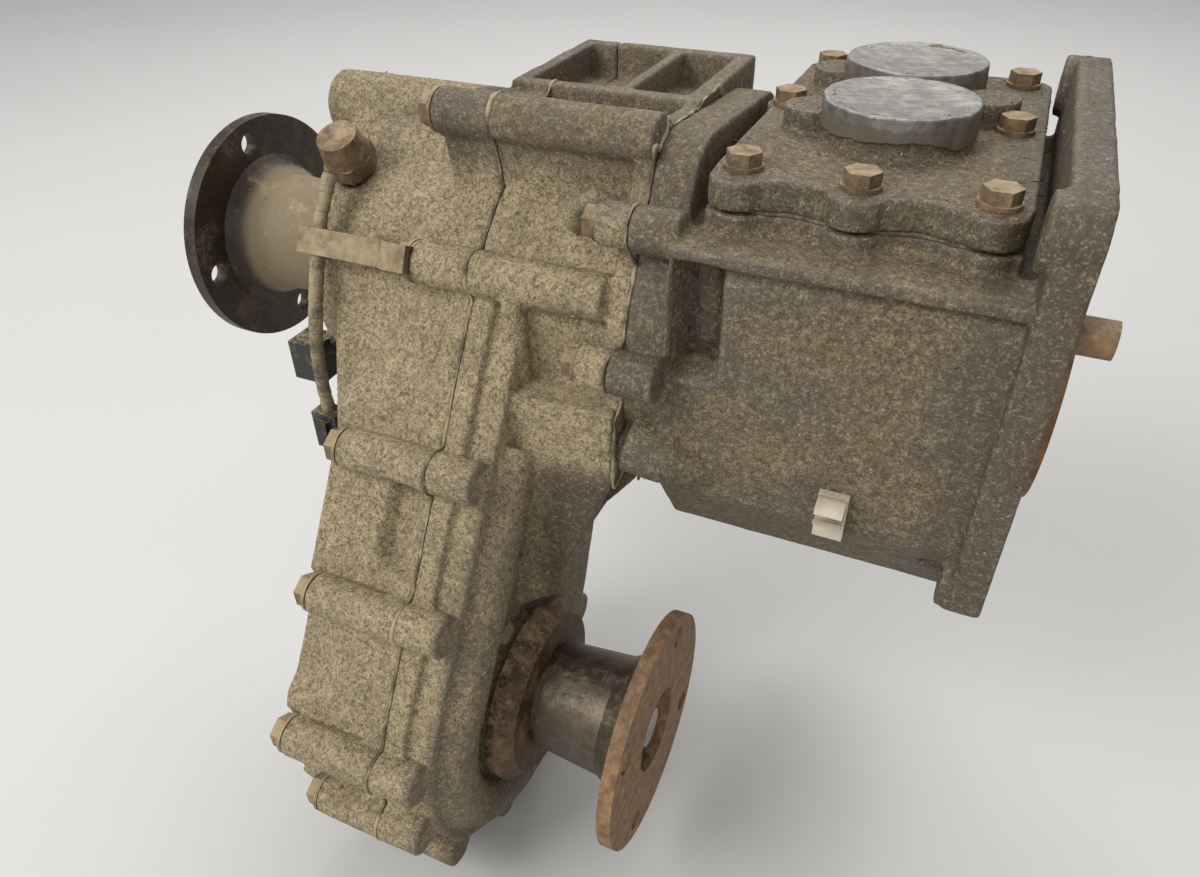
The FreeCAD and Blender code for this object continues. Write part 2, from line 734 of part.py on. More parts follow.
# ---------------------------------------------------------------------------
# Bearings
# ---------------------------------------------------------------------------
GAP = "fit_clearance"


def inner_ring(start, width, shaft):
    return (start, f"{start}+{width}", f"{shaft}+{GAP}", f"{shaft}+ring_wall")


def outer_ring(start, width, outer):
    return (start, f"{start}+{width}", f"{outer}-ring_wall", outer)


def ball_row(start, width, shaft, outer):
    return (f"{start}+3", f"{start}+{width}-3", f"{shaft}+ring_wall+0.3", f"{outer}-ring_wall-0.3")


MAIN_WIDE, FRONT_WIDE, COUNTER_WIDE = "main_bearing_width", "front_bearing_width", "counter_bearing_width"
ring_of("main_bearing_inner_rings", [
    inner_ring(REAR_BEARING, MAIN_WIDE, MAIN_R), inner_ring(CENTRE_BEARING, MAIN_WIDE, MAIN_R)])
ring_of("main_bearing_outer_rings", [
    outer_ring(REAR_BEARING, MAIN_WIDE, "main_bearing_radius"),
    ball_row(REAR_BEARING, MAIN_WIDE, MAIN_R, "main_bearing_radius"),
    outer_ring(CENTRE_BEARING, MAIN_WIDE, "main_bearing_radius"),
    ball_row(CENTRE_BEARING, MAIN_WIDE, MAIN_R, "main_bearing_radius")])
ring_of("front_bearing_inner_rings", [
    inner_ring(FRONT_BEARING, FRONT_WIDE, FRONT_R), inner_ring(LOWER_BEARING, FRONT_WIDE, FRONT_R)], FRONT_AXIS)
ring_of("front_bearing_outer_rings", [
    outer_ring(FRONT_BEARING, FRONT_WIDE, "front_bearing_radius"),
    ball_row(FRONT_BEARING, FRONT_WIDE, FRONT_R, "front_bearing_radius"),
    outer_ring(LOWER_BEARING, FRONT_WIDE, "front_bearing_radius"),
    ball_row(LOWER_BEARING, FRONT_WIDE, FRONT_R, "front_bearing_radius")], FRONT_AXIS)
ring_of("counter_bearing_inner_rings", [
    inner_ring(COUNTER_FRONT, COUNTER_WIDE, COUNTER_R), inner_ring(COUNTER_REAR, COUNTER_WIDE, COUNTER_R)],
    COUNTER_AXIS)
ring_of("counter_bearing_outer_rings", [
    outer_ring(COUNTER_FRONT, COUNTER_WIDE, "counter_bearing_radius"),
    ball_row(COUNTER_FRONT, COUNTER_WIDE, COUNTER_R, "counter_bearing_radius"),
    outer_ring(COUNTER_REAR, COUNTER_WIDE, "counter_bearing_radius"),
    ball_row(COUNTER_REAR, COUNTER_WIDE, COUNTER_R, "counter_bearing_radius")], COUNTER_AXIS)
ring_of("input_bearing_inner_ring", [inner_ring(INPUT_BEARING, MAIN_WIDE, "input_journal_radius")])
ring_of("input_bearing_outer_ring", [
    outer_ring(INPUT_BEARING, MAIN_WIDE, "input_bearing_radius"),
    ball_row(INPUT_BEARING, MAIN_WIDE, "input_journal_radius", "input_bearing_radius")])
ring_of("needle_bearings", [
    (f"{LOW_GEAR}-gear_width+1", f"{LOW_GEAR}+dog_width-1", f"{MAIN_R}+{GAP}", f"{MAIN_R}+4"),
    (f"{FAR_SIDE}+2", f"{CHAIN_DOGS}-2", f"{MAIN_R}+{GAP}", f"{MAIN_R}+4"),
    (f"{INPUT_DOGS}+1", f"{INPUT_DOGS}+16", f"9+{GAP}", f"pilot_bore_radius-{GAP}")])
ring_of("speed_rotor", [(f"{REAR_BEARING}+main_bearing_width+1", f"{REAR_BEARING}+main_bearing_width+9",
                         f"{MAIN_R}+{GAP}", f"{MAIN_R}+24")])

# ---------------------------------------------------------------------------
# Shift rails and forks
# ---------------------------------------------------------------------------
RAIL = "rail_radius"
rails = {
    "hi_lo": ("hi_lo_rail_y", "hi_lo_rail_z", "-neutral_x", f"({ADAPTOR_JOINT}-17)"),
    "four_wd": ("four_wd_rail_y", "four_wd_rail_z", "-two_wheel_x", CASE_JOINT),
}
for label, (rail_y, rail_z, sleeve_x, rail_end) in rails.items():
    rod_start, rod_length = f"({rail_end}+3)", f"(-16-({rail_end}))"
    rail = rod(label + "_rail_bar", RAIL, "x", rod_start, rod_length, (rail_y, rail_z))
    notches = []
    for k, shift in enumerate(("-shift_travel", "0", "shift_travel")):
        notches.append(rod(f"{label}_rail_notch{k}", "2", "y", f"{rail_y}-8", "16",
                           (f"-24+({shift})", f"{rail_z}+rail_radius+0.8")))
    named(carve(label + "_rail_cut", rail, notches), label + "_rail")

    middle = worth(sleeve_x)
    thick = worth("fork_thickness")
    y, z = worth(rail_y), worth(rail_z)
    grip = worth("sleeve_radius") - worth("groove_depth") + worth("working_gap")
    arm_outer = worth("sleeve_radius") + 3
    arch = round_bar(middle - thick / 2, thick, arm_outer)
    below = Part.makeBox(thick + 2, 200, 200, V(middle - thick / 2 - 1, -100, -210))
    arch = arch.cut(below).cut(round_bar(middle - thick / 2 - 1, thick + 2, grip))
    collar = Part.makeCylinder(worth(RAIL) + 4, 18, V(middle - 8, y, z), V(1, 0, 0))
    sleeve_room = round_bar(middle - 13 - 1, 28, worth("sleeve_radius") + 1)
    sleeve_room = sleeve_room.cut(round_bar(middle - thick / 2, thick, worth("sleeve_radius") + 1))
    bore = Part.makeCylinder(worth(RAIL) + worth("fit_clearance"), 40, V(middle - 20, y, z), V(1, 0, 0))
    fork = arch.fuse(collar.cut(sleeve_room)).cut(bore).removeSplitter()
    shaped(label + "_fork", fork)

# ---------------------------------------------------------------------------
# Castings
# ---------------------------------------------------------------------------
def lobes(extra):
    """The chain case's outline: a lobe round each output, grown or shrunk."""
    return [
        ("0", "0", f"main_lobe_radius+({extra})"),
        (FRONT_Y, FRONT_Z, f"front_lobe_radius+({extra})"),
    ]


# Case bolts stand just outside the chain case's outline: (lobe, angle from +Y) of each
CASE_BOLTS = [
    ("main", 28), ("main", -22), ("main", 153), ("front", 165), ("front", 188), ("front", 222),
    ("front", 258), ("front", 296), ("front", 340), ("side", 0.42), ("side", 0.75), ("far", 0.45),
]
# The near side's bosses stop short of the rear wall: how far behind the case joint each one ends
SHORT_BOSSES = {2: "28", 3: "49", 4: "35", 9: "47", 10: "48"}
CLIP_BOSS = 2
BOLT_HOLD = "(rim_overhang+2)"


def case_bolt_spot(lobe, turn):
    """The (Y, Z) formulas of a case bolt."""
    if lobe == "main":
        reach = f"(main_lobe_radius+{BOLT_HOLD})"
        return f"({reach}*cos({turn}))", f"({reach}*sin({turn}))"
    if lobe == "front":
        reach = f"(front_lobe_radius+{BOLT_HOLD})"
        return f"({FRONT_Y}+{reach}*cos({turn}))", f"({FRONT_Z}+{reach}*sin({turn}))"
    side = "-1" if lobe == "side" else "1"
    reach = f"(main_lobe_radius+(front_lobe_radius-main_lobe_radius)*{turn}+{BOLT_HOLD})"
    y = f"({FRONT_Y}*{turn}+{side}*{reach}*sin(axis_drop_angle))"
    z = f"({FRONT_Z}*{turn}-{side}*{reach}*cos(axis_drop_angle))"
    return y, z


PLUG_SPOTS = {
    "drain_plug": (f"({FRONT_Y}+plug_reach*cos(-75))", f"({FRONT_Z}+plug_reach*sin(-75))"),
    "filler_plug": (f"({FRONT_Y}+plug_reach*cos(25))", f"({FRONT_Z}+plug_reach*sin(25))"),
}
case_bolt_spots = [case_bolt_spot(lobe, turn) for lobe, turn in CASE_BOLTS]
TOP_BOSS = ("-31", "88")
case_bolt_spots.append(TOP_BOSS)


def leaning_rod(name, radius, start, length):
    """A cylinder out of the main axis, leaning to the near side as the indicator switch does."""
    solid = fresh("Part::Cylinder", name)
    solid.setExpression("Radius", bound(radius))
    solid.setExpression("Height", bound(length))
    solid.Placement = FreeCAD.Placement(V(), FreeCAD.Rotation(V(1, 0, 0), worth("switch_lean")))
    place(solid, "switch_x", f"-({start})*sin(switch_lean)", f"({start})*cos(switch_lean)")
    return solid


def shrunk(outline, amount):
    """The same outline with every corner circle smaller by an amount."""
    return [(u, v, f"{radius}-({amount})") for u, v, radius in outline]


def bosses(name, spots, start, length, radius="boss_radius"):
    return [rod(f"{name}_boss{i}", radius, "x", start, length, spot) for i, spot in enumerate(spots)]


def holes(name, spots, start, length, radius="bolt_radius+0.5"):
    return [rod(f"{name}_hole{i}", radius, "x", start, length, spot) for i, spot in enumerate(spots)]


# Rear case: the deep shell behind the case joint, with the rear bearing and seal
rear_solids = [
    slab("rear_rim", belt, lobes("rim_overhang"), "x", CASE_JOINT, "-rim_thickness"),
    slab("rear_body", belt, lobes("0"), "x", CASE_JOINT, "-rear_case_depth"),
    slab("rear_housing", belt, [("0", "0", "main_lobe_radius-4"), ("14", "58", "22")],
         "x", CASE_JOINT, "-rear_housing_depth"),
    slab("rear_leg", belt, [("0", "0", "56"), ("-56", "-100", "28")], "x", CASE_JOINT, "-rear_leg_depth"),
    rod("rear_seal_boss", "(main_shaft_radius+6+seal_wall+6)", "x", f"{REAR_SEAL}-1", "seal_width+2"),
    rod("rail_boss", "16", "x", f"{REAR_WALL}-18", "rear_housing_depth+18", ("14", "70")),
    slab("top_web_rear", belt, [("-31", "88", "6"), ("-20", "50", "10"), ("20", "50", "10")], "x", CASE_JOINT, "-26"),
]
rear_solids.append(block("mount_box_rear", (f"{CASE_JOINT}-20", "mount_near_y", "52"),
                         ("20", "mount_width", "mount_top_z-52")))
boss_depths = [SHORT_BOSSES.get(i, "rear_case_depth") for i in range(len(CASE_BOLTS))]
rear_solids += [rod(f"rear_boss{i}", "boss_radius", "x", f"{CASE_JOINT}-{depth}", depth, case_bolt_spots[i])
                for i, depth in enumerate(boss_depths)]
rear_solids.append(rod("rail_bulge_rear", "18", "x", f"{CASE_JOINT}-24", "24", ("four_wd_rail_y", "four_wd_rail_z")))
rear_solids += bosses("rear_top", [TOP_BOSS], f"{CASE_JOINT}-28", "28")
CAVITY = "(-wall)"
rear_tools = [
    slab("rear_cavity", belt, lobes(CAVITY), "x", f"{CASE_JOINT}+1", f"-(rear_case_depth-wall+1)"),
    rod("rear_gallery", "main_lobe_radius-14", "x", f"{REAR_BEARING}+main_bearing_width",
        f"rear_housing_depth"),
    rod("rear_bearing_pocket", f"main_bearing_radius+{GAP}", "x", REAR_BEARING, "main_bearing_width+1"),
    rod("rear_bearing_shoulder", "main_bearing_radius-8", "x", f"{REAR_WALL}-0.5", "wall+1"),
    rod("rear_seal_pocket", f"main_shaft_radius+6+seal_wall+{GAP}", "x", f"{REAR_SEAL}-2", "seal_width+2.2"),
    rod("lower_bearing_pocket", f"front_bearing_radius+{GAP}", "x", LOWER_BEARING, "front_bearing_width+1", FRONT_AXIS),
]
rear_tools.append(rod("four_wd_rail_rear_way", f"rail_radius+{GAP}", "x", f"{CASE_JOINT}-12", "13",
                      ("four_wd_rail_y", "four_wd_rail_z")))
rear_tools += [rod(f"head_room{i}", "bolt_flange_radius+0.3", "x", f"{CHAIN_BACK}-1",
                   f"rear_case_depth-{depth}+1", case_bolt_spots[i]) for i, depth in SHORT_BOSSES.items()]
rear_tools.append(block("trough_rear", (f"{CASE_JOINT}-13", "mount_near_y+8", "mount_top_z-16"),
                        ("15", "mount_width-16", "20")))
rear_solids += [rod(f"{label}_boss", "plug_boss_radius", "x", f"{CHAIN_BACK}-plug_boss_height", "plug_boss_height+2",
                    spot) for label, spot in PLUG_SPOTS.items()]
rear_tools += [rod(f"{label}_way", f"plug_radius+{GAP}", "x", f"{CHAIN_BACK}-plug_boss_height-1",
                   "plug_boss_height+wall+2", spot) for label, spot in PLUG_SPOTS.items()]
breather_way = fresh("Part::Cylinder", "breather_way")
breather_way.setExpression("Radius", bound(f"breather_radius+{GAP}"))
breather_way.Height = 40
breather_way.Placement = FreeCAD.Placement(V(), FreeCAD.Rotation(V(1, 0, 0), -worth("breather_lean")))
place(breather_way, "breather_x", "40*sin(breather_lean)", "40*cos(breather_lean)")
rear_tools.append(breather_way)
rear_tools.append(rod("sensor_way", "sensor_probe_radius+0.1", "x", f"{REAR_WALL}-1", "30", ("sensor_y", "sensor_z")))
rear_tools.append(leaning_rod("switch_way", f"switch_radius+{GAP}", "switch_seat-4", "60"))
rear_tools += holes("rear", case_bolt_spots, f"{CHAIN_BACK}-1", "rear_case_depth+2")
lower_ring = carve("lower_ring", rod("lower_ring_outside", "front_bearing_radius+wall", "x", f"{CHAIN_BACK}+1",
                                     "front_bearing_width+wall-1", FRONT_AXIS),
                   [rod("lower_ring_inside", f"front_bearing_radius+{GAP}", "x", LOWER_BEARING,
                        "front_bearing_width+2", FRONT_AXIS)])
rear_shell = carve("rear_shell", join("rear_solids", rear_solids), rear_tools)
named(join("rear_case_whole", [rear_shell, lower_ring]), "rear_case")

# Front case: from the adaptor joint to the case joint, with the front output's bearing and seal
P2_OUTLINE = [("0", "0", "joint_radius"), (COUNTER_AXIS[0], COUNTER_AXIS[1], "counter_bearing_radius+10"),
              ("60", "60", "24"), ("-20", "66", "24")]
JOINT_BOLTS = [("-68", "-34"), ("-30", "-70"), ("40", "-76"), ("102", "-62"), ("107", "-10"), ("96", "34"),
               ("-58", "62"), ("-80", "10")]
front_solids = [
    slab("front_rim", belt, lobes("rim_overhang"), "x", CASE_JOINT, "rim_thickness"),
    slab("front_body", belt, lobes("0"), "x", CASE_JOINT, "24"),
    rod("front_barrel", "main_lobe_radius+2", "x", CASE_JOINT, "front_case_length"),
    rod("rail_bulge", "18", "x", CASE_JOINT, "front_case_length", ("four_wd_rail_y", "four_wd_rail_z")),
    rod("hi_lo_rail_bulge", "13", "x", f"{CENTRE_BEARING}-4", "main_bearing_width+4",
        ("hi_lo_rail_y", "hi_lo_rail_z")),
    slab("front_flange_plate", belt, P2_OUTLINE, "x", f"{ADAPTOR_JOINT}-8", "8"),
    slab("front_web", belt, [("0", "0", "60"), (COUNTER_AXIS[0], COUNTER_AXIS[1], "counter_bearing_radius+6")],
         "x", f"{CENTRE_BEARING}-4", "main_bearing_width+4"),
    rod("front_seal_boss", "(main_shaft_radius+6+seal_wall+8)", "x", FRONT_WALL, "8+seal_width", FRONT_AXIS),
    slab("top_web_front", belt, [("-31", "88", "6"), ("-20", "50", "10"), ("20", "50", "10")],
         "x", CASE_JOINT, "front_case_length"),
    block("mount_box_front", (CASE_JOINT, "mount_near_y", "52"), ("front_case_length", "mount_width", "mount_top_z-52")),
]
front_solids += bosses("front", case_bolt_spots[:-1], CASE_JOINT, "22")
front_solids += [
    rod("ridge_boss", "boss_radius", "x", CASE_JOINT, "62", case_bolt_spots[CLIP_BOSS]),
    rod("thin_rib", "3", "x", CASE_JOINT, "60", ("-56.5", "-33")),
    rod("oval_pad0", "6", "x", f"{CASE_JOINT}+22", "10", ("-112", "-130")),
    rod("oval_pad1", "5", "x", f"{CASE_JOINT}+22", "8", ("-128", "-141")),
    block("gusset", (f"{CASE_JOINT}+20", "-52", "-104"), ("28", "6", "60")),
]
front_solids += bosses("front_top", [TOP_BOSS], CASE_JOINT, "front_case_length")
front_solids += bosses("front_joint", JOINT_BOLTS, f"{ADAPTOR_JOINT}-14", "14", "9")
front_tools = [
    slab("front_cavity", belt, lobes(CAVITY), "x", f"{CASE_JOINT}-1", "24-wall+1"),
    rod("front_gallery", "main_lobe_radius-wall", "x", f"{CASE_JOINT}-1",
        f"front_case_length-main_bearing_width-4+1"),
    rod("centre_bearing_pocket", f"main_bearing_radius+{GAP}", "x", CENTRE_BEARING, "main_bearing_width+1"),
    rod("centre_shoulder", "main_bearing_radius-8", "x", f"{CENTRE_BEARING}-6", "7"),
    rod("counter_rear_pocket", f"counter_bearing_radius+{GAP}", "x", COUNTER_REAR, "counter_bearing_width+1",
        COUNTER_AXIS),
    rod("front_bearing_pocket", f"front_bearing_radius+{GAP}", "x", FRONT_BEARING, "front_bearing_width",
        FRONT_AXIS),
    rod("front_shoulder", "front_bearing_radius-8", "x", f"{FRONT_WALL}-1", "10", FRONT_AXIS),
    rod("front_seal_pocket", f"main_shaft_radius+6+seal_wall+{GAP}", "x", FRONT_SEAL, "seal_width+2", FRONT_AXIS),
    rod("four_wd_rail_way", f"rail_radius+{GAP}", "x", f"{CENTRE_BEARING}-10", "main_bearing_width+20",
        ("four_wd_rail_y", "four_wd_rail_z")),
    rod("hi_lo_rail_way_rear", f"rail_radius+{GAP}", "x", f"{CENTRE_BEARING}-10", "main_bearing_width+20",
        ("hi_lo_rail_y", "hi_lo_rail_z")),
    rod("fork_room", "rail_radius+6", "x", f"{CASE_JOINT}-1", "front_case_length-main_bearing_width-4+1",
        ("four_wd_rail_y", "four_wd_rail_z")),
]
PANEL_X = f"({CASE_JOINT}+rim_thickness+3)"
PANELS = [(("-40.9", "52.4"), ("-49.4", "44.5")), (("-65.5", "11.5"), ("-63.6", "-19.4")),
          (("-50.9", "-42.7"), ("-35.2", "-56.4"))]
front_tools += [slab(f"panel{i}", belt, [(*first, "4"), (*last, "4")], "x", PANEL_X, f"front_case_length-rim_thickness-20")
                for i, (first, last) in enumerate(PANELS)]
front_tools += [block(f"trough{i}", (start, "mount_near_y+8", "mount_top_z-16"), (length, "mount_width-16", "20"))
                for i, (start, length) in enumerate(((f"{CASE_JOINT}-1", "32"), (f"{CASE_JOINT}+37", "26")))]
front_tools += holes("front", case_bolt_spots[:-1], f"{CASE_JOINT}-1", "20")
front_tools += holes("front_joint", JOINT_BOLTS, f"{ADAPTOR_JOINT}-15", "16", "4.5")
front_ring = carve("front_ring", rod("front_ring_outside", "front_bearing_radius+wall", "x", FRONT_BEARING,
                                     "front_bearing_width", FRONT_AXIS),
                   [rod("front_ring_inside", f"front_bearing_radius+{GAP}", "x", f"{FRONT_BEARING}-1",
                        "front_bearing_width+2", FRONT_AXIS)])
front_shell = carve("front_shell", join("front_solids", front_solids), front_tools)
named(join("front_case_whole", [front_shell, front_ring]), "front_case")

# Adaptor housing: the gear casing between the chain case and the gearbox
BODY_OUTLINE = [
    ("-62", "50", "10"), ("-63", "-44", "9"), ("-36", "-74", "14"),
    (COUNTER_AXIS[0], COUNTER_AXIS[1], "gear_room_radius+wall"), ("110", "48", "16"),
]
FACE_OUTLINE = [
    ("-52", "75", "26"), ("-66", "-63", "12"), ("100", "-63", "26"), ("100", "75", "26"),
]
DOWELS = [("-66", "55"), ("112", "12")]
GEARBOX_BOLTS = [("-65", "87"), ("-65", "-61"), ("111", "87"), ("111", "-61")]
COVER_BOLTS = [
    ("-122", "-38"), ("-78", "-42"), ("-32", "-40"), ("-126", "48"), ("-122", "116"), ("-76", "122"),
    ("-33", "116"), ("-32", "44"),
]
# Shallow scallops in the cover's near edge, between its bolts
SCALLOPS = [("-100", "cover_near_y-18.5"), ("-55", "cover_near_y-18.5")]
RIGHT_WALL = "10"
LEFT = f"({ADAPTOR_JOINT}+18)"
adaptor_solids = [
    slab("adaptor_flange", belt, P2_OUTLINE, "x", ADAPTOR_JOINT, "18"),
    slab("adaptor_body", belt, BODY_OUTLINE, "x", LEFT, f"-({LEFT})-4"),
    slab("adaptor_face", belt, FACE_OUTLINE, "x", "-14", "14"),
    block("adaptor_mouth", ("cover_left_x", "cover_near_y", "30"),
          ("cover_right_x-cover_left_x", "cover_far_y-cover_near_y", "mouth_top_z-30")),
]
adaptor_solids += bosses("adaptor_joint", JOINT_BOLTS, ADAPTOR_JOINT, "20", "9.5")
adaptor_solids += bosses("adaptor_face", GEARBOX_BOLTS, "-18", "18", "13")
adaptor_solids.append(block("base_ledge", (LEFT, "-74", "59"), (f"-({LEFT})-10", "24", "5")))
adaptor_tools = [
    slab("adaptor_room", belt, shrunk(BODY_OUTLINE, "wall"), "x", f"{LEFT}+wall",
         f"-({LEFT})-wall-{RIGHT_WALL}-16"),
    slab("adaptor_throat", belt, [("0", "0", "62"), (COUNTER_AXIS[0], COUNTER_AXIS[1], "counter_bearing_radius+4")],
         "x", f"{ADAPTOR_JOINT}-1", "18+wall+2"),
    rod("retainer_seat", f"retainer_radius+{GAP}", "x", "-3", "4"),
    block("mouth_room", ("cover_left_x+wall+2", "cover_near_y+wall+2", "20"),
          ("cover_right_x-cover_left_x-2*wall-4", "cover_far_y-cover_near_y-2*wall-4", "mouth_top_z")),
    rod("input_bearing_pocket", f"input_bearing_radius+{GAP}", "x", INPUT_BEARING, "main_bearing_width+wall+1"),
    rod("input_room", "input_bearing_radius-4", "x", "-30", "8"),
    rod("counter_front_pocket", f"counter_bearing_radius+{GAP}", "x", COUNTER_FRONT, "counter_bearing_width",
        COUNTER_AXIS),
    rod("counter_front_room", "counter_bearing_radius-4", "x", "-30", "10", COUNTER_AXIS),
    rod("hi_lo_rail_way", f"rail_radius+{GAP}", "x", f"{ADAPTOR_JOINT}-1", "adaptor_length-4",
        ("hi_lo_rail_y", "hi_lo_rail_z")),
    rod("four_wd_rail_front_way", f"rail_radius+{GAP}", "x", f"{ADAPTOR_JOINT}-1", "adaptor_length-4",
        ("four_wd_rail_y", "four_wd_rail_z")),
]
adaptor_tools += holes("adaptor_joint", JOINT_BOLTS, f"{ADAPTOR_JOINT}-1", "15", "4.1")
adaptor_tools += holes("adaptor_face", GEARBOX_BOLTS, "-27", "28", "bolt_radius+0.5")
adaptor_tools += holes("dowel", DOWELS, "-12", "14", f"dowel_radius+{GAP}")
adaptor_tools += [rod(f"{name}_detent_way", f"detent_radius+{GAP}", "z", f"{z}+rail_radius-2",
                      f"mouth_top_z-({z})-rail_radius+3", ("detent_x", y)) for name, (y, z, sleeve_x, end) in rails.items()]
adaptor_tools += [rod(f"mouth_hole{i}", "4.1", "z", "mouth_top_z-13", "14", spot)
                  for i, spot in enumerate(COVER_BOLTS)]
adaptor_tools += [rod(f"mouth_scallop{i}", "22", "z", "65", "mouth_top_z-64", spot) for i, spot in enumerate(SCALLOPS)]
adaptor_shell = carve("adaptor_shell", join("adaptor_solids", adaptor_solids), adaptor_tools)
named(adaptor_shell, "adaptor_housing")

# Input bearing retainer: the steel ring that stands out of the gearbox face
turned("input_bearing_retainer", [
    ("-wall+0.1", f"input_journal_radius+seal_wall+{GAP}"), ("-wall+0.1", f"input_bearing_radius-0.2"),
    ("-3", "input_bearing_radius-0.2"), ("-3", "retainer_radius-1.5"), ("0", "retainer_radius-1.5"),
    ("0", "retainer_radius"), ("6", "retainer_radius"),
    ("6", f"input_journal_radius+seal_wall+{GAP}"),
])

# ---------------------------------------------------------------------------
# Control cover, its gasket, turrets and tape
# ---------------------------------------------------------------------------
COVER_OUTLINE = [
    ("cover_left_x+12", "cover_near_y+14", "12"), ("cover_right_x-12", "cover_near_y+12", "12"),
    ("cover_right_x-12", "cover_far_y-12", "12"), ("cover_left_x+12", "cover_far_y-12", "12"),
]
GASKET_TOP = "(mouth_top_z+gasket_thickness)"
COVER_TOP = f"({GASKET_TOP}+cover_thickness)"
TURRETS = [("turret_x", "turret_near_y"), ("turret_x-3", "turret_near_y+turret_spacing")]


def post(name, radius, start, length, spot):
    return rod(name, radius, "z", start, length, spot)


cover_solids = [slab("cover_plate", belt, COVER_OUTLINE, "z", GASKET_TOP, "cover_thickness")]
cover_tools = [block("cover_room", ("cover_left_x+14", "cover_near_y+16", GASKET_TOP + "-1"),
                     ("cover_right_x-cover_left_x-28", "cover_far_y-cover_near_y-32", "cover_thickness-wall+1"))]
for i, spot in enumerate(TURRETS):
    cover_solids.append(post(f"turret{i}", "turret_radius", f"{COVER_TOP}-2", f"turret_top_z-{COVER_TOP}+2", spot))
    cover_tools.append(post(f"turret_well{i}", "turret_radius-5", GASKET_TOP + "-1", "turret_top_z", spot))
gasket_tools = [block("gasket_room", ("cover_left_x+wall+2", "cover_near_y+wall+2", "mouth_top_z-1"),
                      ("cover_right_x-cover_left_x-2*wall-4", "cover_far_y-cover_near_y-2*wall-4", "3"))]
for i, spot in enumerate(SCALLOPS):
    cover_tools.append(post(f"cover_scallop{i}", "22", GASKET_TOP + "-1", "cover_thickness+2", spot))
    gasket_tools.append(post(f"gasket_scallop{i}", "22", "mouth_top_z-1", "3", spot))
for i, spot in enumerate(COVER_BOLTS):
    cover_solids.append(post(f"cover_boss{i}", "boss_radius", GASKET_TOP, "cover_thickness", spot))
    cover_tools.append(post(f"cover_hole{i}", "4.4", GASKET_TOP + "-1", "cover_thickness+2", spot))
    gasket_tools.append(post(f"gasket_hole{i}", "4.4", "mouth_top_z-1", "3", spot))
named(carve("cover_shell", join("cover_solids", cover_solids), cover_tools), "control_cover")
gasket_plate = slab("gasket_plate", belt, COVER_OUTLINE, "z", "mouth_top_z", "gasket_thickness")
named(carve("gasket_sheet", gasket_plate, gasket_tools), "control_cover_gasket")
tapes = fresh("Part::Compound", "tape_discs")
tapes.Links = [post(f"tape{i}", "turret_radius+0.5", "turret_top_z", "tape_thickness", spot)
               for i, spot in enumerate(TURRETS)]
named(tapes, "turret_tape")

# ---------------------------------------------------------------------------
# Fasteners
# ---------------------------------------------------------------------------
def bolt(x, y, z, along, radius, length, flats, head):
    """A flange-head bolt whose head sits at x, y, z and whose shank runs the way it points."""
    out = -along
    frame = FreeCAD.Rotation(V(0, 0, 1), out)
    hexagon = [V(flats / math.sqrt(3) * math.cos(math.radians(60 * k)),
                 flats / math.sqrt(3) * math.sin(math.radians(60 * k)), 1.6) for k in range(6)]
    solid = Part.Face(Part.makePolygon(hexagon + hexagon[:1])).extrude(V(0, 0, head - 1.6))
    solid = solid.fuse(Part.makeCylinder(worth("bolt_flange_radius") * radius / 5, 1.6))
    solid = solid.fuse(Part.makeCylinder(radius, length, V(0, 0, -length)))
    solid.Placement = FreeCAD.Placement(V(x, y, z), frame)
    return solid.removeSplitter()


def bolt_group(label, spots, along, radius, length, flats, head):
    """Bolts with their heads at some spots, each shank ending as far in as the first one's."""
    end = V(*spots[0]).dot(along) + length
    return shaped(label, Part.makeCompound([
        bolt(*spot, along, radius, end - V(*spot).dot(along), flats, head) for spot in spots]))


FLATS, HEAD, BOLT_R = worth("bolt_head_flats"), worth("bolt_head_height"), worth("bolt_radius")
STRAP = 1.5
spots = []
for i, (y, z) in enumerate(case_bolt_spots[:-1]):
    head_x = worth(CASE_JOINT) - worth(boss_depths[i]) - (STRAP if i == CLIP_BOSS else 0)
    spots.append((head_x, worth(y), worth(z)))
bolt_group("case_bolts", spots, V(1, 0, 0), BOLT_R, worth("rear_case_depth") + 18, FLATS, HEAD)
bolt_group("top_case_bolt", [(worth(CASE_JOINT) - 28, worth(TOP_BOSS[0]), worth(TOP_BOSS[1]))],
           V(1, 0, 0), BOLT_R, 27, FLATS, HEAD)
joint_head_x = worth(ADAPTOR_JOINT) - 14
bolt_group("adaptor_bolts", [(joint_head_x, worth(y), worth(z)) for y, z in JOINT_BOLTS],
           V(1, 0, 0), 4, 27, 12, 6)
bolt_group("control_cover_bolts", [(worth(x), worth(y), worth(COVER_TOP)) for x, y in COVER_BOLTS],
           V(0, 0, -1), 4, worth("cover_thickness") + 12, 12, 6.5)

# ---------------------------------------------------------------------------
# Plugs, breather, dowels and detents
# ---------------------------------------------------------------------------
PLUG_LENGTH = worth("wall") + worth("plug_boss_height")
plug_x = worth(CHAIN_BACK) - worth("plug_boss_height")
for label, (y, z) in PLUG_SPOTS.items():
    shaped(label, bolt(plug_x, worth(y), worth(z), V(1, 0, 0), worth("plug_radius"), PLUG_LENGTH, 21, 8))

breather = bolt(0, 0, 0, V(0, 0, -1), worth("breather_radius"), 11, 13, 6)
breather = breather.fuse(Part.makeCylinder(3, 13, V(0, 0, 5))).fuse(Part.makeCylinder(6, 5, V(0, 0, 15)))
breather.translate(V(worth("breather_x"), 0, worth("main_lobe_radius") - 4 + 0.05))
breather.rotate(V(), V(1, 0, 0), -worth("breather_lean"))
shaped("breather", breather.removeSplitter())

dowels = fresh("Part::Compound", "dowel_pair")
dowels.Links = [rod(f"dowel{i}", "dowel_radius", "x", "-12", "dowel_length", spot) for i, spot in enumerate(DOWELS)]
named(dowels, "gearbox_dowels")

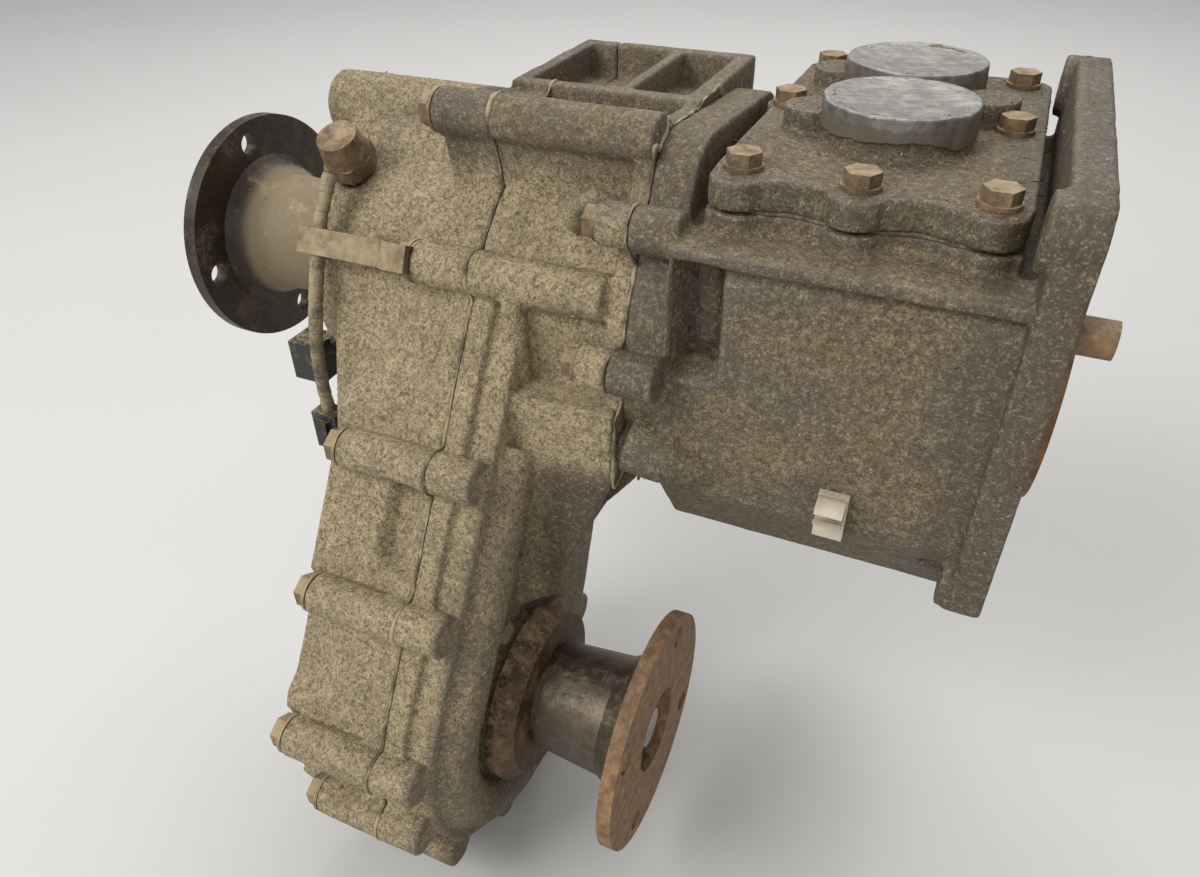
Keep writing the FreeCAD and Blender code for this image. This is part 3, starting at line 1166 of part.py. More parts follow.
DETENT_BALL_Z = "+rail_radius+detent_radius+0.05)"
for label, kind in (("detent_balls", "Part::Sphere"), ("detent_springs", "ring"), ("detent_plugs", "plug")):
    group = fresh("Part::Compound", label + "_pair")
    pair = []
    for rail_name, (rail_y, rail_z, sleeve_x, rail_end) in rails.items():
        ball_z = f"({rail_z}{DETENT_BALL_Z}"
        spot = ("detent_x", rail_y)
        if label == "detent_balls":
            ball = fresh("Part::Sphere", f"{rail_name}_ball")
            ball.setExpression("Radius", "Sheet.detent_radius")
            place(ball, "detent_x", rail_y, ball_z)
            pair.append(ball)
        elif label == "detent_springs":
            outside = rod(f"{rail_name}_spring_outside", "detent_radius-0.5", "z", f"{ball_z}+3", "2.8", spot)
            inside = rod(f"{rail_name}_spring_inside", "detent_radius-1.3", "z", f"{ball_z}+2", "5", spot)
            pair.append(carve(f"{rail_name}_spring", outside, [inside]))
        else:
            pair.append(rod(f"{rail_name}_screw", "detent_radius", "z", f"{ball_z}+5.9",
                            f"mouth_top_z-0.1-({ball_z}+5.9)", spot))
    group.Links = pair
    named(group, label)


# ---------------------------------------------------------------------------
# Indicator switch, its taped lead and connector, the clip and the speed sensor
# ---------------------------------------------------------------------------
lean = worth("switch_lean")
seat = worth("switch_seat")


def leaned(shape):
    """Turns a shape that stands on +Z to the switch's own direction."""
    shape.rotate(V(), V(1, 0, 0), lean)
    shape.translate(V(worth("switch_x"), 0, 0))
    return shape


can = Part.makeCylinder(worth("switch_radius"), 14, V(0, 0, seat - 3))
hexagon = [V(13 * math.cos(math.radians(60 * k)), 13 * math.sin(math.radians(60 * k)), seat + 10.5) for k in range(6)]
can = can.fuse(Part.Face(Part.makePolygon(hexagon + hexagon[:1])).extrude(V(0, 0, 7)))
can = can.fuse(Part.makeCone(11.5, 9.5, 12, V(0, 0, seat + 17)))
shaped("four_wd_switch", leaned(can.removeSplitter()))

WIRE_ROUTE = [
    (-311, -45.5, 57.5), (-312, -55, 44), (-313, -62, 24), (-316, -66.5, 2), (-321, -67, -22), (-326, -64, -46),
    (-328, -61, -66),
]


def tube(points, radius):
    """A round tube along straight runs joined by arcs, each arc as large as its two runs allow."""
    corners = [V(*point) for point in points]
    edges, here = [], corners[0]
    for before, corner, after in zip(corners, corners[1:], corners[2:]):
        back, ahead = (before - corner), (after - corner)
        reach = 0.45 * min(back.Length, ahead.Length)
        back.normalize()
        ahead.normalize()
        start, end = corner + back * reach, corner + ahead * reach
        turn = math.pi - back.getAngle(ahead)
        bend = reach / math.tan(turn / 2)
        middle = back + ahead
        middle.normalize()
        deep = bend / math.cos(turn / 2) - bend
        edges += [Part.makeLine(here, start), Part.Arc(start, corner + middle * deep, end).toShape()]
        print(f"lead bend radius {bend:.0f} mm")
        here = end
    edges.append(Part.makeLine(here, corners[-1]))
    path = Part.Wire(edges)
    ring = Part.Wire(Part.makeCircle(radius, corners[0], corners[1] - corners[0]))
    return path.makePipeShell([ring], True, False), path.Length


lead, lead_length = tube(WIRE_ROUTE, worth("wire_radius"))
shaped("switch_lead", lead)
print(f"lead length {lead_length:.1f} mm, volume {lead.Volume:.0f}, expected "
      f"{lead_length * math.pi * worth('wire_radius') ** 2:.0f}")

plug = Part.makeBox(15, 11, 22, V(-335.5, -66.5, -88.8))
plug = plug.cut(Part.makeBox(11, 7, 14, V(-333.5, -64.5, -89.6)))
plug = plug.fuse(Part.makeBox(6, 3, 14, V(-331, -69.5, -84.6)))
shaped("switch_connector", plug.removeSplitter())

eye_x = worth(CASE_JOINT) - worth(boss_depths[CLIP_BOSS])
eye_reach = worth("main_lobe_radius") + worth(BOLT_HOLD)
strap = [
    (-STRAP, 11.5), (-10.4, 11.5), (-18.4, 3.6), (-61, 3.6), (-61, -5.4), (-43, -5.4), (-43, -6.9),
    (-62.5, -6.9), (-62.5, 5.1), (-19, 5.1), (-11, 13), (0, 13), (0, 0), (-STRAP, 0),
]
points = [V(eye_x + x, -6, eye_reach + z) for x, z in strap]
strap = Part.Face(Part.makePolygon(points + points[:1])).extrude(V(0, 12, 0))
strap = strap.fuse(Part.makeCylinder(9, STRAP, V(eye_x - STRAP, 0, eye_reach), V(1, 0, 0)))
strap = strap.cut(Part.makeCylinder(BOLT_R + 0.3, 9, V(eye_x - 5, 0, eye_reach), V(1, 0, 0))).removeSplitter()
strap.rotate(V(), V(1, 0, 0), CASE_BOLTS[CLIP_BOSS][1] - 90)
shaped("lead_clip", strap)

sensor_y, sensor_z = worth("sensor_y"), worth("sensor_z")
probe = Part.makeCylinder(worth("sensor_probe_radius"), 27, V(worth(REAR_WALL) - 1, sensor_y, sensor_z), V(1, 0, 0))
probe = probe.fuse(Part.makeCylinder(7.5, 10, V(worth(REAR_WALL) - 10, sensor_y, sensor_z), V(1, 0, 0)))
socket = Part.makeBox(18, 17, 22, V(worth(REAR_WALL) - 26, sensor_y - 18, sensor_z - 20))
socket = socket.cut(Part.makeBox(14, 13, 18, V(worth(REAR_WALL) - 27, sensor_y - 16, sensor_z - 18)))
shaped("speed_sensor", probe.fuse(socket).removeSplitter())

clip = Part.makeBox(12, 3, 22, V(-70, -75.2, -50))
clip = clip.fuse(Part.makeCylinder(6, 11, V(-69.5, -79.5, -33), V(1, 0, 0)))
clip = clip.cut(Part.makeCylinder(4.4, 13, V(-70.5, -79.5, -33), V(1, 0, 0)))
clip = clip.cut(Part.makeBox(14, 8, 4, V(-71, -90, -35)))
shaped("harness_clip", clip.removeSplitter())

# ---------------------------------------------------------------------------
# Checks and files
# ---------------------------------------------------------------------------
doc.recompute()
for item in doc.Objects:
    if "Invalid" in item.State or "Error" in item.State:
        raise RuntimeError(f"{item.Name} is {item.State}")
os.makedirs("parts", exist_ok=True)
for piece in made:
    if piece.Shape.isNull() or not piece.Shape.isValid() or not piece.Shape.Solids:
        raise RuntimeError(f"{piece.Label} has no sound solid")
    piece.Shape.exportStep(f"parts/{piece.Label}.step")
print(f"{len(made)} sub-parts")
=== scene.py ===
import bmesh
import bpy
import numpy as np
from mathutils import Matrix, Vector
from mathutils.bvhtree import BVHTree


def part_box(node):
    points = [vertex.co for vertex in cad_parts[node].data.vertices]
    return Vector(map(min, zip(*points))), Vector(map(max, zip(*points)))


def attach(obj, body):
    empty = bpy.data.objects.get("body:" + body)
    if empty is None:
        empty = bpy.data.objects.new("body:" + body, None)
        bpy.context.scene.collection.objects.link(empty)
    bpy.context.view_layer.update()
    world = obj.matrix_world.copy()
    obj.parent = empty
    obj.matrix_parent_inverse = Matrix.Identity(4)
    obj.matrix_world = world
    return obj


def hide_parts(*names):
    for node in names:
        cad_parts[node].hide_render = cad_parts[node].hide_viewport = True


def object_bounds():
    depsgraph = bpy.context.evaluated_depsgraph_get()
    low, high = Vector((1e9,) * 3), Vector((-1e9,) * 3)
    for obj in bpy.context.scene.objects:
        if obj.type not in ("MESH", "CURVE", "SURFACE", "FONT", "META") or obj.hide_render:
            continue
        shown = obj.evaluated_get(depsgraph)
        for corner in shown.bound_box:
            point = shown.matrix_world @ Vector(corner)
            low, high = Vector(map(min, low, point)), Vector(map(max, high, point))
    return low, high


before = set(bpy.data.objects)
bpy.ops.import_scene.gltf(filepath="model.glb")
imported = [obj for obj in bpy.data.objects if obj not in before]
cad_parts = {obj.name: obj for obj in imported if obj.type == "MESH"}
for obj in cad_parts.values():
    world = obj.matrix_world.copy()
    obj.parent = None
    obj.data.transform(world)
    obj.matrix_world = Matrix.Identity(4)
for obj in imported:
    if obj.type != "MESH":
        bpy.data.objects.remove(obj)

cad_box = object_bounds()
scene = bpy.context.scene
scene.view_settings.view_transform = "Standard"

# ---------------------------------------------------------------------------
# Camera: a short lens close above the near side, so that the gearbox end
# comes forward and the rear flange falls away.
# ---------------------------------------------------------------------------
EYE = Vector((-0.03707, -0.36072, 0.20204))
RIGHT = Vector((0.91494, 0.40351, -0.00760))
UP = Vector((-0.23405, 0.54585, 0.80453))
FORWARD = Vector((-0.32878, 0.73432, -0.59386))

camera = bpy.data.objects.new("camera", bpy.data.cameras.new("camera"))
camera.data.lens = 26.98
camera.data.sensor_width = 36
camera.data.clip_start = 0.01
stand = Matrix((RIGHT, UP, -FORWARD)).transposed().to_4x4()
stand.translation = EYE
camera.matrix_world = stand
scene.collection.objects.link(camera)
scene.camera = camera


# ---------------------------------------------------------------------------
# Finishes: what every surface below is made with. A finish is one material, and
# a field is a number or a colour in it that varies from place to place.
# ---------------------------------------------------------------------------
class Field:
    """A number or a colour that varies over a surface. Arithmetic on it adds the Math nodes that work it out."""

    def __init__(self, finish, socket):
        self.finish, self.socket = finish, socket

    def calculate(self, operation, *values):
        return self.finish.make("ShaderNodeMath", {"operation": operation}, dict(enumerate(values)))

    def __add__(self, other):
        return self.calculate("ADD", self, other)

    def __sub__(self, other):
        return self.calculate("SUBTRACT", self, other)

    def __rsub__(self, other):
        return self.calculate("SUBTRACT", other, self)

    def __mul__(self, other):
        return self.calculate("MULTIPLY", self, other)

    __radd__, __rmul__ = __add__, __mul__

    def lowest(self, other):
        return self.calculate("MINIMUM", self, other)

    def highest(self, other):
        return self.calculate("MAXIMUM", self, other)

    def between(self, low, high):
        """0 below low, 1 above high, and a smooth step from one to the other."""
        ends = {"Value": self, "From Min": low, "From Max": high}
        return self.finish.make("ShaderNodeMapRange", {"interpolation_type": "SMOOTHSTEP"}, ends)


class Finish:
    """A material: a principled shader, and the fields that feed it."""

    def __init__(self, name, slot, roughness=0.8, metallic=0.0):
        self.slot = slot
        self.material = bpy.data.materials.new(name)
        self.material.use_nodes = True
        self.tree = self.material.node_tree
        self.shader = self.tree.nodes["Principled BSDF"]
        self.shader.inputs["Roughness"].default_value = roughness
        self.shader.inputs["Metallic"].default_value = metallic
        self.place = self.make("ShaderNodeTexCoord", output="Object")

    def make(self, kind, settings=(), inputs=(), output=0):
        """One node: its settings are set first, then its sockets get their values or links."""
        node = self.tree.nodes.new(kind)
        for key, value in dict(settings).items():
            setattr(node, key, value)
        for key, value in dict(inputs).items():
            self.feed(node.inputs[key], value)
        return Field(self, node.outputs[output])

    def feed(self, socket, value):
        if isinstance(value, Field):
            self.tree.links.new(value.socket, socket)
        elif hasattr(socket.default_value, "__len__") and len(socket.default_value) == 4:
            socket.default_value = (*value, 1)
        else:
            socket.default_value = value

    def noise(self, size, detail=4.0, roughness=0.55):
        """Soft blotches, about size metres apart, from 0 to 1."""
        inputs = {"Vector": self.place, "Scale": 1 / size, "Detail": detail, "Roughness": roughness}
        return self.make("ShaderNodeTexNoise", {}, inputs)

    def grains(self, size, output="Distance"):
        """Grains about size metres across: how far each point lies from the middle of its grain, or a colour that
        is the same all over a grain."""
        inputs = {"Vector": self.place, "Scale": 1 / size}
        return self.make("ShaderNodeTexVoronoi", {}, inputs, output)

    def mix(self, share, first, second):
        """A colour between two colours."""
        return self.make("ShaderNodeMix", {"data_type": "RGBA"}, {0: share, 6: first, 7: second}, 2)

    def part(self, field, axis):
        """One coordinate of a place or direction."""
        return self.make("ShaderNodeSeparateXYZ", {}, {0: field}, axis)

    def facing(self, axis):
        """How far the surface faces along an axis, from -1 to 1."""
        return self.part(self.make("ShaderNodeNewGeometry", output="Normal"), axis)

    def mark(self, name):
        """A number kept at each point of the piece's own mesh."""
        return self.make("ShaderNodeAttribute", {"attribute_name": name}, output="Fac")

    def bump(self, height, depth):
        """Raises the surface by height times depth metres, in its shading."""
        bumped = self.make("ShaderNodeBump", {}, {"Height": height, "Distance": depth, "Strength": 1.0})
        self.feed(self.shader.inputs["Normal"], bumped)

    def colour(self, value):
        self.feed(self.shader.inputs["Base Color"], value)

    def rough(self, value):
        self.feed(self.shader.inputs["Roughness"], value)

    def paint(self, *pieces):
        """Gives this finish to pieces, new ones and CAD nodes alike."""
        for piece in pieces:
            piece.data.materials.clear()
            piece.data.materials.append(self.material)


def linear(red, green, blue):
    """A colour's linear values, from what it looks like on a 0 to 255 scale."""
    return tuple(((c / 255 + 0.055) / 1.055) ** 2.4 if c > 10 else c / 255 / 12.92 for c in (red, green, blue))


# ---------------------------------------------------------------------------
# Shapes: reading and softening meshes, and the tubes and plates that castings,
# sealant, lead and tape are built from.
# ---------------------------------------------------------------------------
def points_of(mesh):
    """The mesh's points, as rows of x, y and z."""
    flat = np.empty(len(mesh.vertices) * 3)
    mesh.vertices.foreach_get("co", flat)
    return flat.reshape(-1, 3)


def mean_of_neighbours(edges, values):
    """Each point's value becomes the average of its neighbours' values."""
    count = len(values)
    total = np.zeros_like(values)
    ends = np.concatenate([edges[:, 0], edges[:, 1]])
    others = np.concatenate([edges[:, 1], edges[:, 0]])
    share = np.maximum(np.bincount(ends, minlength=count), 1)
    for column in range(values.shape[1]):
        total[:, column] = np.bincount(ends, weights=values[others, column], minlength=count)
    return total / share[:, None]


def edges_of(mesh):
    flat = np.empty(len(mesh.edges) * 2, int)
    mesh.edges.foreach_get("vertices", flat)
    return flat.reshape(-1, 2)


def soften(mesh, rounds, share=0.5):
    """Rounds every corner: each point moves part of the way to its neighbours' average, several times."""
    points, edges = points_of(mesh), edges_of(mesh)
    for _ in range(rounds):
        points += share * (mean_of_neighbours(edges, points) - points)
    mesh.vertices.foreach_set("co", points.ravel())
    mesh.update()


RIDGE_ROUNDS, RIDGE_HEIGHT = 6, 0.0008
HOLLOW_ROUNDS, HOLLOW_DEPTH = 40, 0.004


def mark_relief(mesh):
    """Keeps two numbers at each point: how much it stands out as an edge, and how deep it lies in a hollow.
    Both are the point's height over its neighbourhood's average place, measured along its normal: over a small
    neighbourhood for the edges, and over a wide one for the hollows."""
    points, edges = points_of(mesh), edges_of(mesh)
    normals = np.empty(len(points) * 3)
    mesh.vertices.foreach_get("normal", normals)
    normals = normals.reshape(-1, 3)
    near = points.copy()
    relief = {}
    for rounds in range(1, HOLLOW_ROUNDS + 1):
        near = mean_of_neighbours(edges, near)
        if rounds in (RIDGE_ROUNDS, HOLLOW_ROUNDS):
            relief[rounds] = ((points - near) * normals).sum(1)
    ridge, hollow = relief[RIDGE_ROUNDS] / RIDGE_HEIGHT, -relief[HOLLOW_ROUNDS] / HOLLOW_DEPTH
    for name, value in (("ridge", ridge), ("hollow", hollow)):
        layer = mesh.attributes.new(name, "FLOAT", "POINT")
        layer.data.foreach_set("value", np.clip(value, 0, 1).astype(np.float32))


def evaluated(piece):
    """The piece's mesh with its modifiers applied, as a new mesh."""
    return bpy.data.meshes.new_from_object(piece.evaluated_get(bpy.context.evaluated_depsgraph_get()))


def wrapped_grid(rows, columns):
    """The faces of a grid of points whose last column meets its first."""
    row, column = np.meshgrid(np.arange(rows - 1), np.arange(columns), indexing="ij")
    after = (column + 1) % columns
    corners = [row * columns + column, (row + 1) * columns + column, (row + 1) * columns + after,
               row * columns + after]
    return np.stack(corners, -1).reshape(-1, 4).tolist()


def walked_length(path):
    """How far along the path each of its points lies."""
    return np.concatenate([[0], np.cumsum(np.linalg.norm(np.diff(path, axis=0), axis=1))])


def tube(path, radius, sides=20):
    """A closed round bar along a path: a ring of points round each of its points, at right angles to the path,
    radius away. radius is one number or one for each point; a fan of faces closes each end."""
    path = np.asarray(path, float)
    along = np.gradient(path, axis=0)
    along /= np.linalg.norm(along, axis=1)[:, None]
    across = np.cross(along, np.eye(3)[np.argmin(np.abs(along).max(0))])
    across /= np.linalg.norm(across, axis=1)[:, None]
    third = np.cross(along, across)
    turn = np.linspace(0, 2 * np.pi, sides, endpoint=False)
    reach = np.broadcast_to(np.asarray(radius, float), len(path))[:, None, None]
    ring = np.cos(turn)[None, :, None] * across[:, None] + np.sin(turn)[None, :, None] * third[:, None]
    points = np.concatenate([(path[:, None] + reach * ring).reshape(-1, 3), path[[0, -1]]])
    last = (len(path) - 1) * sides
    start, end = len(path) * sides, len(path) * sides + 1
    fans = [(start, i, (i + 1) % sides) for i in range(sides)]
    fans += [(end, last + (i + 1) % sides, last + i) for i in range(sides)]
    return points, wrapped_grid(len(path), sides) + fans


def plate(outline, shift):
    """A closed flat plate: an outline with no hollow corner, and its copy moved by shift."""
    outline = np.asarray(outline, float)
    count = len(outline)
    points = np.concatenate([outline, outline + shift])
    sides = [(i, (i + 1) % count, (i + 1) % count + count, i + count) for i in range(count)]
    return points, [list(range(count))[::-1], list(range(count, 2 * count))] + sides


def mesh_of(name, shapes):
    """One mesh from several (points, faces) shapes, its faces turned outwards."""
    mesh = bpy.data.meshes.new(name)
    points, faces, so_far = [], [], 0
    for more_points, more_faces in shapes:
        points.append(more_points)
        faces += [[so_far + i for i in face] for face in more_faces]
        so_far += len(more_points)
    mesh.from_pydata(np.concatenate(points).tolist(), [], faces)
    tidy = bmesh.new()
    tidy.from_mesh(mesh)
    bmesh.ops.recalc_face_normals(tidy, faces=tidy.faces)
    tidy.to_mesh(mesh)
    tidy.free()
    return mesh


def new_piece(name, mesh, smooth=True):
    """A piece of its own that goes with the castings."""
    piece = bpy.data.objects.new(name, mesh)
    scene.collection.objects.link(piece)
    if smooth:
        mesh.shade_smooth()
    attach(piece, "case")
    return piece


# ---------------------------------------------------------------------------
# Castings: four sand-cast aluminium housings, thick with dry road dirt.
# Each takes the CAD casting's form, gets the soft corners that sand casting
# leaves, and a skin that is uneven as the mould was.
# ---------------------------------------------------------------------------
def dent(points, middle, half, edge, push):
    """Pushes the points inside a soft-edged box: fully within half of its middle, fading to nothing over edge."""
    away = np.abs(points - np.asarray(middle)) - np.asarray(half)
    share = np.clip(1 - away / edge, 0, 1)
    share = (share * share * (3 - 2 * share)).prod(1)
    return points + share[:, None] * np.asarray(push)


MOST_TRIANGLES = 190000
SAME_POINT = 2e-6
MOULD_WAVE = 0.016


def casting(name, node, added=(), dents=(), grid=0.0011, rounds=3, lumps=0.0006):
    """A casting's visible form: the CAD form and what is added to it, rebuilt as one skin on a fine even grid,
    dented, softened, and made slightly uneven."""
    merged = bmesh.new()
    merged.from_mesh(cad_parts[node].data)
    bmesh.ops.remove_doubles(merged, verts=merged.verts, dist=SAME_POINT)
    if added:
        merged.from_mesh(mesh_of(name + "_added", added))
    mesh = bpy.data.meshes.new(name)
    merged.to_mesh(mesh)
    merged.free()
    piece = bpy.data.objects.new(name, mesh)
    scene.collection.objects.link(piece)
    rebuild = piece.modifiers.new("grid", "REMESH")
    rebuild.mode = "VOXEL"
    rebuild.voxel_size = grid * 1
    piece.data = evaluated(piece)
    piece.modifiers.clear()
    points = points_of(piece.data)
    for one in dents:
        points = dent(points, *one)
    piece.data.vertices.foreach_set("co", points.ravel())
    soften(piece.data, rounds)
    uneven = bpy.data.textures.new(name + "_mould", "CLOUDS")
    uneven.noise_scale = MOULD_WAVE
    skin = piece.modifiers.new("skin", "DISPLACE")
    skin.texture, skin.texture_coords, skin.strength, skin.mid_level = uneven, "LOCAL", lumps, 0.6
    mark_relief(piece.data)
    piece.data.calc_loop_triangles()
    count = len(piece.data.loop_triangles)
    if count > MOST_TRIANGLES:
        fewer = piece.modifiers.new("fewer", "DECIMATE")
        fewer.ratio = MOST_TRIANGLES / count
    piece.data = evaluated(piece)
    piece.modifiers.clear()
    piece.data.shade_smooth()
    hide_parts(node)
    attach(piece, "case")
    return piece


SAND = linear(168, 151, 118)
# pale chips of grit, also used for the painted highlight on each grain
PALE_GRAIN_AND_HIGHLIGHT = linear(206, 190, 154)
DARK_GRAIN = linear(92, 77, 55)
BARE_CASTING = linear(116, 107, 94)
# the colour of debris, also used for painted shade in hollows and gaps and on each grain's dark side
DEBRIS_AND_SHADE = linear(58, 47, 33)


# how softly each darker stretch fades at its edges; the stretches are stains and painted shade
STAIN_AND_SHADE_FADE_X, STAIN_AND_SHADE_FADE_Z = 0.008, 0.012


def times(colour, amount):
    """A colour made lighter or darker."""
    return tuple(min(1, c * amount) for c in colour)


def dirty_casting(name, slot, sand, casting_colour, cover, dark, stains_and_shade=()):
    """Cast aluminium under caked grit: the grit lies thick where the surface faces up or sits in a corner,
    and the casting's own grey shows on the edges; hollows get dark debris and painted shade. cover is how much grit,
    dark how much oily dirt, and each darker stretch is a real stain in some places and painted shade in others: (x low,
    x high, z low, z high, amount)."""
    f = Finish(name, slot)
    clouds = f.noise(0.09, 5, 0.6)
    patches = f.noise(0.022, 6, 0.7)
    blots = f.noise(0.006, 5, 0.72)
    grit = f.noise(0.0010, 3, 0.7)
    cells = f.grains(0.0011, "Color")
    bits = f.grains(0.0011)
    pick, tone = f.part(cells, 0), f.part(cells, 1)
    ridge, hollow = f.mark("ridge"), f.mark("hollow")
    up = f.facing(2)
    x, z = f.part(f.place, 0), f.part(f.place, 2)
    # darker stretches: real stains in some places, painted shade in others
    stain_and_shade = 0.0
    for x_low, x_high, z_low, z_high, amount in stains_and_shade:
        inside = x.between(x_low - STAIN_AND_SHADE_FADE_X, x_low + STAIN_AND_SHADE_FADE_X)
        inside = inside * (1 - x.between(x_high - STAIN_AND_SHADE_FADE_X, x_high + STAIN_AND_SHADE_FADE_X))
        inside = inside * z.between(z_low - STAIN_AND_SHADE_FADE_Z, z_low + STAIN_AND_SHADE_FADE_Z)
        inside = inside * (1 - z.between(z_high - STAIN_AND_SHADE_FADE_Z, z_high + STAIN_AND_SHADE_FADE_Z))
        stain_and_shade = inside * amount + stain_and_shade
    # where the grit lies, and what shows where it doesn't
    dust = clouds * 0.7 + patches * 0.8 + up * 0.10 - ridge * 0.42 + cover - 0.75 - stain_and_shade * 0.5
    dust = (dust + (blots - 0.5) * 0.45 + (grit - 0.5) * 0.55).between(-0.25, 0.3)
    bare = f.mix(blots.between(0.3, 0.7), times(casting_colour, 0.70), times(casting_colour, 1.10))
    bare = f.mix((grit + ridge * 0.10).between(0.46, 0.70) * 0.5, bare, times(sand, 0.9))
    # the grit itself: two sizes of grain, pale chips and dark pits
    specks = f.noise(0.0026, 4, 0.75)
    sandy = f.mix((patches * 0.5 + blots * 0.5).between(0.38, 0.62), times(sand, 0.62), times(sand, 1.06))
    sandy = f.mix((grit * 0.6 + specks * 0.4).between(0.36, 0.60), times(sand, 0.42), sandy)
    sandy = f.mix((tone - 0.55).between(0.0, 0.4) * 0.35, sandy, times(sand, 1.28))
    pale = (pick - 0.94).between(0.0, 0.03) * (0.55 - bits).between(0.0, 0.15)
    pits = (0.07 - pick).between(0.0, 0.04) * blots.between(0.4, 0.62) * (0.6 - bits).between(0.0, 0.2)
    sandy = f.mix(pits * 0.75, f.mix(pale * 0.35, sandy, PALE_GRAIN_AND_HIGHLIGHT), DARK_GRAIN)
    colour = f.mix(dust, bare, sandy)
    # oil that has crept through it, debris and painted shade in the corners, and the darker stretches, which are stains
    # in some places and painted shade in others
    oil = patches * 0.6 + f.noise(0.045, 5, 0.65) * 0.6 + dark - 1.1 + stain_and_shade * 0.3
    colour = f.mix((oil + (grit - 0.5) * 0.3).between(-0.12, 0.3) * 0.5, colour, times(DARK_GRAIN, 0.75))
    # debris in the hollows, with painted shade there too, from the hollow mark
    debris_and_shade = (hollow * 0.8 + (blots - 0.5) * 1.2 + (grit - 0.5) * 0.8 + dark * 0.4 - 0.55).between(0.0, 0.4)
    colour = f.mix(debris_and_shade * 0.75, colour, DEBRIS_AND_SHADE)
    # the darker stretches: stains, and painted shade in the gaps and on the lower lobe's front
    colour = f.mix((stain_and_shade * 0.7).between(0.0, 1.0), colour, times(DEBRIS_AND_SHADE, 1.5))
    # painted light and shade on each grain: a painted shaded side and a painted highlight
    shade = grit * 0.45 + specks * 0.55
    colour = f.mix((0.5 - shade).between(0.0, 0.12) * 0.45, colour, times(DEBRIS_AND_SHADE, 0.9))
    f.colour(f.mix((shade - 0.5).between(0.0, 0.14) * 0.28, colour, PALE_GRAIN_AND_HIGHLIGHT))
    f.rough(0.62 + dust * 0.34)
    clumps = blots.between(0.5, 0.8) * (0.2 + debris_and_shade)
    f.bump(grit * (0.3 + dust * 0.5) + (1 - bits) * dust * 0.25 + clumps * 1.6, 0.0006)
    return f


CASE_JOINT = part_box("front_case")[0][0]
ADAPTOR_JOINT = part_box("adaptor_housing")[0][0]
flange_low, flange_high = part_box("front_flange")
FRONT_Y, FRONT_Z = (flange_low[1] + flange_high[1]) / 2, (flange_low[2] + flange_high[2]) / 2

# The rear case: a slot pocket is sunk between two of its bolt bosses, and its wall falls away behind them.
rear_case = casting("rear_case_casting", "rear_case", dents=[
    ((CASE_JOINT - 0.014, -0.124, -0.0675), (0.006, 0.022, 0.017), 0.005, (0, 0.0062, -0.0032)),
    ((CASE_JOINT - 0.050, -0.160, -0.128), (0.006, 0.030, 0.012), 0.012, (0, 0.005, -0.0025)),
    ((CASE_JOINT - 0.050, -0.080, -0.005), (0.006, 0.030, 0.014), 0.012, (0, 0.004, -0.002)),
])

# The front case: a swelling shoulder follows its lower lobe, a fin runs from the adaptor's flange down to it,
# ribs stand in the gap behind the fin, a bar backs the thin corner above it, and a hooked ear hangs over it.
SHOULDER_REACH, SHOULDER_X, SHOULDER_RADIUS = 0.064, CASE_JOINT + 0.0205, 0.0145
arc = np.radians(np.linspace(153, 292, 40))
lobe = np.stack([np.full(len(arc), SHOULDER_X), FRONT_Y + SHOULDER_REACH * np.cos(arc),
                 FRONT_Z + SHOULDER_REACH * np.sin(arc)], 1)
shoulder = np.concatenate([[[SHOULDER_X, -0.0776, -0.0427], [SHOULDER_X, -0.115, -0.100]], lobe])
FACE_X, FLANGE_X, RIB_THICKNESS = CASE_JOINT + 0.023, ADAPTOR_JOINT - 0.001, 0.004
fin = [(FACE_X, -0.081, -0.020), (FLANGE_X, -0.079, -0.022), (FLANGE_X, -0.079, -0.050),
       (FACE_X + 0.016, -0.084, -0.128), (FACE_X, -0.088, -0.140)]
ribs = [plate([(FACE_X, y, -0.045), (FLANGE_X, y, -0.050), (FLANGE_X, y, -0.068), (FACE_X + 0.008, y, -0.122),
               (FACE_X, y, -0.125)], (0, RIB_THICKNESS, 0)) for y in (-0.050, -0.030, -0.008)]
fin_root = plate([(FACE_X, -0.080, -0.014), (FLANGE_X, -0.078, -0.014), (FLANGE_X, -0.078, -0.040),
                  (FACE_X, -0.082, -0.056)], (0, 0.034, 0))
cross_rib = plate([(FACE_X, -0.096, -0.106), (FACE_X + 0.024, -0.062, -0.106), (FACE_X + 0.026, -0.004, -0.106),
                   (FACE_X, -0.004, -0.106)], (0, 0, RIB_THICKNESS))
corner = tube([(FACE_X - 0.0025, -0.066, z) for z in (0.030, 0.010, -0.010, -0.034)], 0.0055)
ear = tube([(ADAPTOR_JOINT - 0.034, -0.040, 0.050), (ADAPTOR_JOINT - 0.030, -0.046, 0.062),
            (ADAPTOR_JOINT - 0.022, -0.046, 0.067), (ADAPTOR_JOINT - 0.014, -0.043, 0.062)], 0.0042)
front_case = casting("front_case_casting", "front_case", added=[
    tube(shoulder, SHOULDER_RADIUS), plate(fin, (0, 0.009, 0)), fin_root, cross_rib, corner, ear] + ribs)
# darker stretches on the sandy castings: stains, and painted shade in the gap under the adaptor and on the lower lobe's
# front
SANDY_STAINS_AND_SHADE = [
    (-0.262, -0.100, 0.068, 0.200, 0.68),  # the top of the mount box
    (-0.213, -0.100, -0.300, -0.045, 0.45),  # painted shade on the lower lobe's front
    (-0.190, -0.100, -0.300, -0.045, 0.60),  # painted shade in the gap under the adaptor
    (-0.400, -0.240, 0.052, 0.200, 0.30),  # the rear case's top
    (-0.238, -0.100, -0.400, -0.215, 0.30),  # the lowest bosses
]
dirty_casting("sandy_casting", "sandy_casting", SAND, BARE_CASTING, 0.36, 0.26, SANDY_STAINS_AND_SHADE).paint(
    rear_case, front_case)

